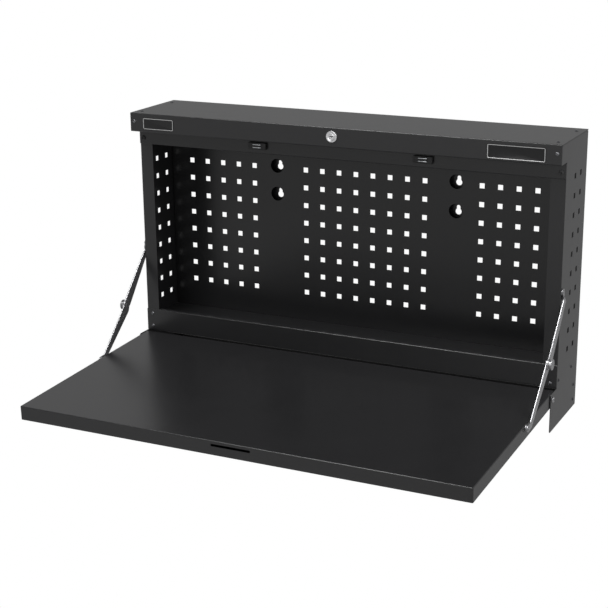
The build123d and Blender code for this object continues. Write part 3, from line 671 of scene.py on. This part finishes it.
@dataclass(frozen=True)
class RivetSize:
    """Sizes of a blind rivet, in millimetres."""

    head: float = 3.6
    height: float = 1.4
    shank: float = 2.0
    grip: float = 2.7
    tail: float = 4.0
    bulb: float = 2.7
    bulb_start: float = 0.3
    bulb_end: float = 0.5
    stem: float = 1.1

    def shape(self) -> bmesh.types.BMesh:
        """Turn the rivet, with its seat at the origin and its head along +Z.

        Returns:
            The rivet with the broken stem sunk in its head and the bulb behind the sheets.
        """
        return turned([
            *scaled(RIVET_STEM, self.stem, self.height), *scaled(RIVET_HEAD, self.head, self.height),
            (self.shank, 0), (self.shank, -self.grip), (self.bulb, -self.grip - self.bulb_start),
            (self.bulb, -self.tail + self.bulb_end), (self.shank, -self.tail), (0, -self.tail),
        ])


@dataclass
class Cabinet:
    """The fixed sheet metal, its fixings and its two bare plates, in millimetres."""

    body: str = "cabinet"
    half_width: float = 457.0
    top_rise: float = 155.2
    band_front: float = -176.8
    rail_front: float = -143.6
    band_screw_inset: float = 9.0
    band_screw_height: float = 137.7
    rail_screw_inset: float = 13.3
    rail_screw_heights: Span = (-286.2, -314.1)
    cover_rivet_inset: float = 14.5
    cover_rivet_depths: Span = (-33.3, -153.4)
    floor_rivet_depths: Span = (-42.2, -130.3)
    floor_rivet_height: float = -310.7
    crossbar_rivet_depth: float = -19.7
    crossbar_rivet_heights: Span = (-356.0, -387.6)
    screw_turns: tuple[float, ...] = (12.0, 51.0, 77.0, 30.0)
    plate_thickness: float = 0.9
    plate_corner: float = 3.5
    plate_margin: float = 0.9
    plate_rim: float = 1.2
    plate_step: float = 0.15
    plate_bevel: float = 0.3
    left_plate: tuple[Span, Span] = ((-427.0, -355.0), (122.4, 146.4))
    right_plate: tuple[Span, Span] = ((315.0, 427.0), (120.2, 147.7))

    def build(self) -> None:
        """Make the fixings and the plates."""
        self.build_screws()
        self.build_rivets()
        self.build_plate("left_bare_plate", *self.left_plate)
        self.build_plate("right_bare_plate", *self.right_plate)

    def dress(self) -> None:
        """Coat every sheet of the cabinet, and give the bar under it a near black painted shade."""
        # Painted shade: the crossbar takes a near black, dull finish so that it reads as the shade behind
        # the worktop
        dress("rear_crossbar", CROSSBAR_SHADE)
        sheets = ["back_panel", "top_cover", "upper_rail", "bottom_rail", "floor_panel"]
        for side in Side:
            sheets += [f"{side.word}_side_panel", f"{side.word}_mounting_channel"]
        for sheet in sheets:
            dress(sheet, POWDER_COAT)

    def build_screws(self) -> None:
        """Make the band's end screws and the bottom rail's screws, no two turned alike."""
        band, rail = [], []
        for side in Side:
            band_x = side.value * (self.half_width - self.band_screw_inset)
            band.append((band_x, self.band_front, self.band_screw_height))
            rail_x = side.value * (self.half_width - self.rail_screw_inset)
            rail += [(rail_x, self.rail_front, height) for height in self.rail_screw_heights]
        for node, points in (("band_screws", band), ("rail_screws", rail)):
            places = [
                frame_place(point, OUT_OF_WALL, RIGHT) @ Matrix.Rotation(math.radians(turn), 4, "Z")
                for point, turn in zip(points, self.screw_turns)
            ]
            add_copies(f"{node}_cross_recess", ScrewSize().shape(), places, self.body, BLACK_NICKEL, [node])

    def build_rivets(self) -> None:
        """Make the rivets of the cover, the floor and the crossbar."""
        rivets = {"cover_rivets": [], "floor_rivets": [], "crossbar_rivets": []}
        for side in Side:
            edge = side.value * self.half_width
            inset = side.value * (self.half_width - self.cover_rivet_inset)
            outward = (side.value, 0, 0)
            for depth in self.cover_rivet_depths:
                place = frame_place((inset, depth, self.top_rise), UP, RIGHT)
                rivets["cover_rivets"].append(place)
            for depth in self.floor_rivet_depths:
                place = frame_place((edge, depth, self.floor_rivet_height), outward, INTO_WALL)
                rivets["floor_rivets"].append(place)
            for height in self.crossbar_rivet_heights:
                place = frame_place((edge, self.crossbar_rivet_depth, height), outward, INTO_WALL)
                rivets["crossbar_rivets"].append(place)
        for node, places in rivets.items():
            add_copies(f"{node}_blind", RivetSize().shape(), places, self.body, BLACK_ZINC, [node])

    def build_plate(self, name: str, across: Span, up: Span) -> None:
        """Make a bare lacquered plate on the band with a thin bright rim.

        Args:
            name: Name of the piece.
            across: Its two ends along X.
            up: Its two edges along Z.
        """
        width, height = across[1] - across[0], up[1] - up[0]
        plate = bmesh.new()
        bmesh.ops.create_cube(plate, size=1.0)
        bmesh.ops.scale(plate, vec=(width, height, self.plate_thickness), verts=plate.verts)
        bmesh.ops.translate(plate, vec=(0, 0, self.plate_thickness / 2), verts=plate.verts)
        corners = [edge for edge in plate.edges if abs(edge.verts[0].co.z - edge.verts[1].co.z) > MERGE_MM]
        round_edges(plate, corners, self.plate_corner, CORNER_STEPS)
        front = [max(plate.faces, key=lambda face: face.calc_center_median().z)]
        bmesh.ops.inset_region(plate, faces=front, thickness=self.plate_margin, depth=-self.plate_step)
        rim = bmesh.ops.inset_region(plate, faces=front, thickness=self.plate_rim, depth=0.0)["faces"]
        bmesh.ops.inset_region(plate, faces=front, thickness=self.plate_bevel, depth=-self.plate_step)
        for face in rim:
            face.material_index = 1
        middle = (sum(across) / 2, self.band_front, sum(up) / 2)
        bmesh.ops.transform(plate, matrix=frame_place(middle, OUT_OF_WALL, RIGHT), verts=plate.verts)
        add_piece(name, finish_mesh(plate, name), self.body, [PLATE_LACQUER, PLATE_RIM])


@dataclass
class Lock:
    """The cam lock in the middle of the band, in millimetres."""

    body: str = "lock"
    holder: str = "cabinet"
    face_front: float = -176.8
    height: float = 137.6
    face: float = 11.5
    face_height: float = 2.4
    barrel: float = 9.0
    barrel_length: float = 15.15
    thread_pitch: float = 1.5
    thread_depth: float = 0.5
    bore: float = 6.05
    bore_sunk: float = 0.9
    bore_flare: float = 0.3
    plug: float = 6.0
    plug_front: float = 2.0
    plug_rear: float = -15.45
    square: float = 7.0
    square_length: float = 2.5
    keyway_length: float = 4.0
    keyway_width: float = 1.0
    keyway_depth: float = 6.0
    keyway_lip: float = 0.06
    cam_edge: float = 0.4
    cam_screw: ScrewSize = ScrewSize(head=5.0, height=2.2, tail=5.0, recess_length=2.8, recess_width=0.7)

    def place(self) -> Matrix:
        """Place of the lock's face, looking out of the cabinet."""
        return frame_place((0, self.face_front, self.height), OUT_OF_WALL, RIGHT)

    def build(self) -> None:
        """Make the barrel, the plug, the cam, the nut and the cam's screw."""
        self.build_barrel()
        self.build_plug()
        soften("lock_cam", self.body, BRIGHT_ZINC, self.cam_edge)
        soften("lock_nut", self.holder, BRIGHT_ZINC, self.cam_edge)
        self.build_cam_screw()

    def build_barrel(self) -> None:
        """Turn the barrel: a dished face with rounded edges and a threaded body."""
        core = self.barrel - self.thread_depth
        shoulder = self.face_height - self.bore_sunk
        profile = [
            (self.bore, -self.barrel_length), (self.bore, shoulder),
            (self.bore + self.bore_flare, shoulder + self.bore_flare),
            *scaled(LOCK_FACE, self.face, 1, self.face_height), (self.face, 0), (self.barrel, 0),
        ]
        for turn in range(1, int(self.barrel_length / self.thread_pitch)):
            crest = -self.thread_pitch * turn
            profile += [(self.barrel, crest), (core, crest - self.thread_pitch / 2)]
        profile.append((core, -self.barrel_length))
        barrel = turned(profile, closed=True)
        add_copies("lock_barrel_turned", barrel, [self.place()], self.holder, LOCK_CHROME, ["lock_barrel"])

    def build_plug(self) -> None:
        """Turn the plug, cut its keyway in front with painted shade inside it, and leave a square end
        behind.
        """
        nose = scaled(PLUG_NOSE, self.plug, 1, self.plug_front)
        plug = turned([*nose, (self.plug, self.plug_rear), (0, self.plug_rear)])
        score(plug, (1, 0, 0), (-self.keyway_length, self.keyway_length))
        score(plug, (0, 1, 0), (-self.keyway_width, self.keyway_width))
        keyway = [face for face in plug.faces if self.in_keyway(face)]
        bmesh.ops.inset_region(plug, faces=keyway, thickness=self.keyway_lip, depth=-self.keyway_lip)
        sink(plug, keyway, self.keyway_depth, draft=1.0)
        seal(plug)
        # Painted shade: the keyway's walls and floor take the black finish
        for face in plug.faces:
            middle = face.calc_center_median()
            below = self.plug_rear < middle.z < self.plug_front - 2 * self.keyway_lip
            if below and abs(middle.x) <= self.keyway_length and abs(middle.y) <= self.keyway_width:
                face.material_index = 1
        tang = bmesh.ops.create_cube(plug, size=1.0)["verts"]
        bmesh.ops.scale(plug, vec=(self.square, self.square, self.square_length), verts=tang)
        bmesh.ops.translate(plug, vec=(0, 0, self.plug_rear - self.square_length / 2), verts=tang)
        bmesh.ops.transform(plug, matrix=self.place(), verts=plug.verts)
        name = "lock_plug_cut"
        add_piece(name, finish_mesh(plug, name), self.body, [LOCK_CHROME, KEYWAY_SHADE], ["lock_plug"])

    def in_keyway(self, face: bmesh.types.BMFace) -> bool:
        """Find the faces of the keyway's mouth.

        Args:
            face: A face of the plug.

        Returns:
            Whether it lies on the front, in the keyway.
        """
        middle = face.calc_center_median()
        inside = abs(middle.x) < self.keyway_length and abs(middle.y) < self.keyway_width
        return inside and middle.z > self.plug_front - MERGE_MM

    def build_cam_screw(self) -> None:
        """Make the screw that holds the cam on the plug."""
        seat = self.face_front - self.plug_rear + self.square_length
        place = frame_place((0, seat, self.height), INTO_WALL, RIGHT)
        screw = self.cam_screw.shape()
        add_copies("cam_screw_cross_recess", screw, [place], self.body, BRIGHT_ZINC, ["cam_screw"])


@dataclass
class Catches:
    """The two magnetic catches and the two bumpers on the upper rail, in millimetres."""

    body: str = "cabinet"
    housing_edge: float = 1.0
    pole_edge: float = 0.25
    bumper: float = 5.0
    bumper_height: float = 3.2
    bumper_hole: float = 1.6
    bumper_hole_depth: float = 1.4
    bumper_hole_edge: float = 0.3

    def build(self) -> None:
        """Round off the housings and the pole plates, and make the bumpers."""
        for side in Side:
            soften(f"{side.word}_catch_housing", self.body, ABS, self.housing_edge)
            self.build_bumper(f"{side.word}_bumper")
        soften("catch_poles", self.body, GROUND_STEEL, self.pole_edge)

    def dress(self) -> None:
        """Finish the magnets between the poles."""
        dress("catch_magnets", FERRITE)

    def build_bumper(self, node: str) -> None:
        """Mould a low rubber button with a hole for its screw, on the rail.

        Args:
            node: Name of the bumper's node.
        """
        low, high = box_mm(node)
        middle = (low + high) / 2
        tall, hole, edge = self.bumper_height, self.bumper_hole, self.bumper_hole_edge
        floor = tall - self.bumper_hole_depth
        well = [(0, floor), (hole, floor), (hole, tall - edge), (hole + edge, tall)]
        button = turned([*well, *scaled(BUMPER_DOME, self.bumper, tall), (0, 0)])
        place = frame_place((middle.x, high.y, middle.z), OUT_OF_WALL, RIGHT)
        add_copies(f"{node}_button", button, [place], self.body, RUBBER, [node])


@dataclass
class Worktop:
    """The folding worktop with its hinge bolts, in millimetres."""

    body: str = "table"
    bolt_head: float = 6.0
    bolt_height: float = 2.5
    bolt_shank: float = 4.0
    bolt_chamfer: float = 0.6
    socket: float = 2.4
    socket_depth: float = 1.6
    hexagon: int = 6

    def build(self) -> None:
        """Make the two hinge bolts."""
        for side in Side:
            self.build_bolt(side)

    def dress(self) -> None:
        """Coat the pan, its skin and its stiffeners, and plate the weld nuts."""
        for sheet in ("worktop", "underside_skin", "rear_stiffener", "front_stiffener"):
            dress(sheet, POWDER_COAT)
        dress("hinge_nuts", BRIGHT_ZINC)

    def build_bolt(self, side: Side) -> None:
        """Make a shoulder bolt with a low button head and a hexagon socket.

        Args:
            side: End of the bench that it is on.
        """
        node = f"{side.word}_hinge_bolt"
        low, high = box_mm(node)
        head_end = high.x if side is Side.RIGHT else low.x
        length = high.x - low.x - self.bolt_height
        shank, chamfer = self.bolt_shank, self.bolt_chamfer
        head = scaled(BUTTON_HEAD, self.bolt_head, self.bolt_height)
        tip = [(shank, -length + chamfer), (shank - chamfer, -length), (0, -length)]
        bolt = turned([*head, (shank, 0), *tip])
        rim = [edge for edge in bolt.edges if edge.is_boundary]
        corners = bmesh.ops.create_circle(
            bolt, cap_ends=False, radius=self.socket, segments=self.hexagon,
        )["verts"]
        bmesh.ops.translate(bolt, vec=(0, 0, self.bolt_height), verts=corners)
        mouth = list(dict.fromkeys(edge for corner in corners for edge in corner.link_edges))
        bmesh.ops.bridge_loops(bolt, edges=rim + mouth)
        made = bmesh.ops.extrude_edge_only(bolt, edges=mouth)["geom"]
        bottom = [part for part in made if isinstance(part, bmesh.types.BMVert)]
        bmesh.ops.translate(bolt, vec=(0, 0, -self.socket_depth), verts=bottom)
        bmesh.ops.edgeloop_fill(bolt, edges=[part for part in made if isinstance(part, bmesh.types.BMEdge)])
        seal(bolt)
        middle = (low + high) / 2
        seat = head_end - side.value * self.bolt_height
        place = frame_place((seat, middle.y, middle.z), (side.value, 0, 0), INTO_WALL)
        add_copies(f"{node}_socket_head", bolt, [place], self.body, BRIGHT_ZINC, [node])


@dataclass
class Stay:
    """One folding stay: two arms, an elbow knob and the pivots, in millimetres."""

    side: Side
    arm_edge: float = 0.25
    # Distances from the pivot along the upper arm, in the solids and then here
    bend_was: tuple[float, ...] = (-500.0, 3.2, 7.5, 12.0, 25.0, 500.0)
    bend_is: tuple[float, ...] = (-500.0, 3.2, 5.0, 7.6, 25.0, 500.0)
    spacer_edge: float = 0.15
    pin: float = 3.0
    arm: float = 2.0
    collar: float = 8.5
    collar_height: float = 4.1
    collar_edge: float = 0.4
    knob: float = 10.5
    knob_height: float = 3.0
    knob_dish: float = 0.5
    stud_head: float = 4.5
    stud_head_height: float = 1.1
    stud_tail: float = 4.2
    rivet_head: float = 4.5
    rivet_head_height: float = 0.8

    def name(self, part: str) -> str:
        """Full name of one of this side's nodes or bodies."""
        return f"{self.side.word}_{part}"

    def build(self) -> None:
        """Make the arms, spacers, studs, rivet and knob of this side."""
        soften(self.name("upper_arm"), self.name("upper_stay"), BRIGHT_ZINC, self.arm_edge, self.crank)
        soften(self.name("lower_arm"), self.name("lower_stay"), BRIGHT_ZINC, self.arm_edge)
        soften(self.name("stay_spacer"), "cabinet", BRIGHT_ZINC, self.spacer_edge)
        soften(self.name("table_spacer"), "table", BRIGHT_ZINC, self.spacer_edge)
        self.build_stud("stay_stud", "cabinet")
        self.build_stud("table_stud", "table")
        self.build_knob()
        self.build_rivet()

    def crank(self, arm: bmesh.types.BMesh) -> None:
        """Make the upper arm's offset bend steeper and closer to its pivot.

        Args:
            arm: The arm in metres.
        """
        ends = [sum(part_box(self.name(part)), Vector()) / 2 for part in ("stay_stud", "table_stud")]
        line = ends[1] - ends[0]
        line.x = 0
        line.normalize()
        for corner in arm.verts:
            along = (corner.co - ends[0]).dot(line) / MM
            corner.co += line * (float(numpy.interp(along, self.bend_was, self.bend_is)) - along) * MM

    def outer_place(self, node: str) -> tuple[Matrix, float]:
        """Place a turned part by its CAD node.

        Args:
            node: Name of the node, a round part along X.

        Returns:
            Place of its inboard end, with +Z outboard, and its length.
        """
        low, high = box_mm(node)
        middle = (low + high) / 2
        inboard = low.x if self.side is Side.RIGHT else high.x
        outward = (self.side.value, 0, 0)
        return frame_place((inboard, middle.y, middle.z), outward, INTO_WALL), high.x - low.x

    def build_stud(self, part: str, body: str) -> None:
        """Make a pivot stud: upset end inside, domed head outside.

        Args:
            part: The node's name without its side.
            body: CAD body that it rides on.
        """
        node = self.name(part)
        place, length = self.outer_place(node)
        tall = self.stud_head_height
        seat = length - tall
        head = scaled(STUD_HEAD, self.stud_head, tall, seat)
        tail = scaled(UPSET_END, self.stud_tail, tall)
        stud = turned([*head, (self.pin, seat), (self.pin, tall), *tail])
        add_copies(f"{node}_domed", stud, [place], body, BRIGHT_ZINC, [node])

    def build_knob(self) -> None:
        """Make the turned knob that the stay is folded by."""
        node = self.name("elbow_knob")
        place, length = self.outer_place(node)
        neck = self.arm + self.collar_height
        knob = turned([
            (0, 0), (self.pin, 0), (self.pin, self.arm), (self.collar - self.collar_edge, self.arm),
            (self.collar, self.arm + self.collar_edge), (self.collar, neck),
            *scaled(KNOB_RIM, self.knob, self.knob_height, neck),
            *scaled(KNOB_DISH, self.knob, self.knob_dish, length - self.knob_dish),
        ])
        add_copies(f"{node}_turned", knob, [place], self.name("upper_stay"), BRIGHT_ZINC, [node])

    def build_rivet(self) -> None:
        """Make the elbow's rivet, domed on the inboard side."""
        node = self.name("elbow_rivet")
        place, length = self.outer_place(node)
        head = scaled(ELBOW_HEAD, self.rivet_head, self.rivet_head_height)
        rivet = turned([*head, (self.pin, self.rivet_head_height), (self.pin, length), (0, length)])
        add_copies(f"{node}_domed", rivet, [place], self.name("lower_stay"), BRIGHT_ZINC, [node])


@dataclass(frozen=True)
class Lamp:
    """A soft oblong lamp, in metres and watts."""

    name: str
    place: tuple[float, float, float]
    aim: tuple[float, float, float]
    size: Span
    power: float


def mixed(
    tree: bpy.types.NodeTree, share: bpy.types.NodeSocket, low: SocketValue, high: SocketValue,
) -> bpy.types.NodeSocket:
    """Go from one number to another.

    Args:
        tree: Tree that gets the node.
        share: Zero for the low number, one for the high one.
        low: First number or its socket.
        high: Second number or its socket.

    Returns:
        The number in between.
    """
    inputs = {MIX_FACTOR: share, MIX_LOW: low, MIX_HIGH: high}
    return add_node(tree, "ShaderNodeMix", inputs, data_type="FLOAT").outputs[MIX_NUMBER]


def slope(tree: bpy.types.NodeTree, value: bpy.types.NodeSocket, ends: Span) -> bpy.types.NodeSocket:
    """Rise smoothly from zero to one between two ends.

    Args:
        tree: Tree that gets the node.
        value: What it follows.
        ends: Where it starts to rise and where it is full.

    Returns:
        The risen share.
    """
    inputs = {"Value": value, "From Min": ends[0], "From Max": ends[1]}
    risen = add_node(tree, "ShaderNodeMapRange", inputs, interpolation_type="SMOOTHSTEP")
    return risen.outputs["Result"]


@dataclass
class Studio:
    """Floor, lamps, white surround and camera, in metres and degrees."""

    floor_height: float = -1.24
    floor_size: float = 60.0
    floor_colour: str = "#e9e8e6"
    shadow_middle: tuple[float, float, float] = (0.0, -0.55, 0.0)
    shadow_reach: Span = (0.95, 0.72)
    shadow_fade: Span = (0.75, 1.1)
    floor_gloss: Span = (0.58, 0.375)
    floor_gloss_depths: Span = (-0.6, 0.0)
    surround_colour: str = "#ffffff"
    ambient: float = 0.1
    room: Span = (0.36, 0.31)
    sweep: float = 0.29
    sweep_rise: Span = (0.2, 0.45)
    sweep_fall: Span = (0.6, 0.85)
    lamps: tuple[Lamp, ...] = (
        Lamp("overhead_lamp", (-0.72, -1.3, 2.0), (-0.72, -1.3, 0.0), (0.92, 1.4), 58.0),
        Lamp("side_lamp", (2.6, -0.9, 1.7), (0.0, -0.3, -0.12), (1.6, 1.6), 48.0),
        Lamp("front_lamp", (-0.3, -3.6, 0.8), (0.0, -0.3, -0.12), (1.2, 1.2), 13.0),
    )
    camera_place: tuple[float, float, float] = (1.16496, -2.70917, 0.65355)
    camera_azimuth: float = 26.0786
    camera_elevation: float = 17.6225
    camera_roll: float = -0.6151
    lens_mm: float = 86.095
    sensor_mm: float = 36.0
    shift: Span = (0.00818, 0.02459)

    def build(self) -> None:
        """Set the floor, the surround, the lamps, the camera and the view transform."""
        bpy.context.scene.view_settings.view_transform = "Standard"
        self.build_floor()
        self.build_surround()
        for lamp in self.lamps:
            self.build_lamp(lamp)
        self.build_camera()

    def build_floor(self) -> None:
        """Lay a pale matt floor that keeps the shadow under the bench and fades to white around it."""
        paint = bpy.data.materials.new("matt_floor_paint_rolled")
        tree = empty_tree(paint)
        place = add_node(tree, "ShaderNodeTexCoord").outputs["Object"]
        centred = add_node(
            tree, "ShaderNodeVectorMath", {0: place, 1: self.shadow_middle}, operation="SUBTRACT",
        ).outputs["Vector"]
        shrink = (*(1 / reach for reach in self.shadow_reach), 0.0)
        oval = add_node(
            tree, "ShaderNodeVectorMath", {0: centred, 1: shrink}, operation="MULTIPLY",
        ).outputs["Vector"]
        away = add_node(tree, "ShaderNodeVectorMath", {0: oval}, operation="LENGTH").outputs["Value"]
        fade = slope(tree, away, self.shadow_fade)
        path = add_node(tree, "ShaderNodeLightPath").outputs
        white = mixed(tree, path["Is Diffuse Ray"], fade, 0.0)
        depth = add_node(tree, "ShaderNodeSeparateXYZ", {"Vector": place}).outputs["Y"]
        gloss = mixed(tree, slope(tree, depth, self.floor_gloss_depths), *self.floor_gloss)
        strength = mixed(tree, path["Is Glossy Ray"], 1.0, gloss)
        matt = add_node(tree, "ShaderNodeBsdfDiffuse", {"Color": linear(self.floor_colour)}).outputs["BSDF"]
        glow = add_node(tree, "ShaderNodeEmission", {"Strength": strength}).outputs["Emission"]
        surface = add_node(tree, "ShaderNodeMixShader", {0: white, 1: matt, 2: glow}).outputs["Shader"]
        add_node(tree, "ShaderNodeOutputMaterial", {"Surface": surface})
        sheet = bmesh.new()
        bmesh.ops.create_grid(sheet, x_segments=1, y_segments=1, size=self.floor_size / 2)
        bmesh.ops.translate(sheet, vec=(0, 0, self.floor_height), verts=sheet.verts)
        floor = add_object("floor", finish_mesh(sheet, "floor"))
        floor.data.materials.append(paint)

    def build_surround(self) -> None:
        """Show white all round, while reflections see a dim room with a lit sweep behind the bench."""
        world = bpy.data.worlds.new("white_surround")
        tree = empty_tree(world)
        path = add_node(tree, "ShaderNodeLightPath").outputs
        place = add_node(tree, "ShaderNodeTexCoord").outputs["Generated"]
        way = add_node(tree, "ShaderNodeSeparateXYZ", {"Vector": place}).outputs
        behind = add_node(
            tree, "ShaderNodeMath", {0: way["Y"], 1: 0.0}, operation="GREATER_THAN",
        ).outputs["Value"]
        lit = mixed(tree, slope(tree, way["Z"], self.sweep_rise), 0.0, behind)
        lit = mixed(tree, slope(tree, way["Z"], self.sweep_fall), lit, 0.0)
        dim = mixed(tree, behind, *self.room)
        gloss = mixed(tree, lit, dim, self.room[1] + self.sweep)
        strength = mixed(tree, path["Is Glossy Ray"], 1.0, gloss)
        strength = mixed(tree, path["Is Diffuse Ray"], strength, self.ambient)
        colour = linear(self.surround_colour)
        light = add_node(tree, "ShaderNodeBackground", {"Color": colour, "Strength": strength})
        add_node(tree, "ShaderNodeOutputWorld", {"Surface": light.outputs["Background"]})
        bpy.context.scene.world = world

    def build_lamp(self, lamp: Lamp) -> None:
        """Hang a soft lamp that isn't seen itself.

        Args:
            lamp: Where it is, where it points, how large and how strong.
        """
        light = bpy.data.lights.new(lamp.name, "AREA")
        light.energy = lamp.power
        light.shape = "RECTANGLE"
        light.size, light.size_y = lamp.size
        hung = add_object(lamp.name, light)
        hung.location = lamp.place
        aim = Vector(lamp.aim) - Vector(lamp.place)
        hung.rotation_euler = aim.to_track_quat("-Z", "Y").to_euler()
        hung.visible_camera = False

    def build_camera(self) -> None:
        """Set the camera where the photograph was taken from."""
        azimuth, elevation = math.radians(self.camera_azimuth), math.radians(self.camera_elevation)
        level = math.cos(elevation)
        back = Vector((math.sin(azimuth) * level, -math.cos(azimuth) * level, math.sin(elevation)))
        right = Vector(UP).cross(back).normalized()
        turn = Matrix((right, back.cross(right), back)).transposed()
        roll = Matrix.Rotation(math.radians(self.camera_roll), 3, "Z")
        lens = bpy.data.cameras.new("camera")
        lens.lens = self.lens_mm
        lens.sensor_width = self.sensor_mm
        lens.shift_x, lens.shift_y = self.shift
        camera = add_object("camera", lens)
        camera.matrix_world = Matrix.Translation(Vector(self.camera_place)) @ (turn @ roll).to_4x4()
        bpy.context.scene.camera = camera


def main() -> None:
    """Build and dress the bench, assembly by assembly, then set the studio."""
    logging.basicConfig(level=logging.INFO, format="%(message)s")
    cabinet, catches, worktop = Cabinet(), Catches(), Worktop()
    cabinet.dress()
    cabinet.build()
    catches.dress()
    catches.build()
    worktop.dress()
    worktop.build()
    Lock().build()
    for side in Side:
        Stay(side).build()
    Studio().build()


if __name__ == "__main__":
    main()
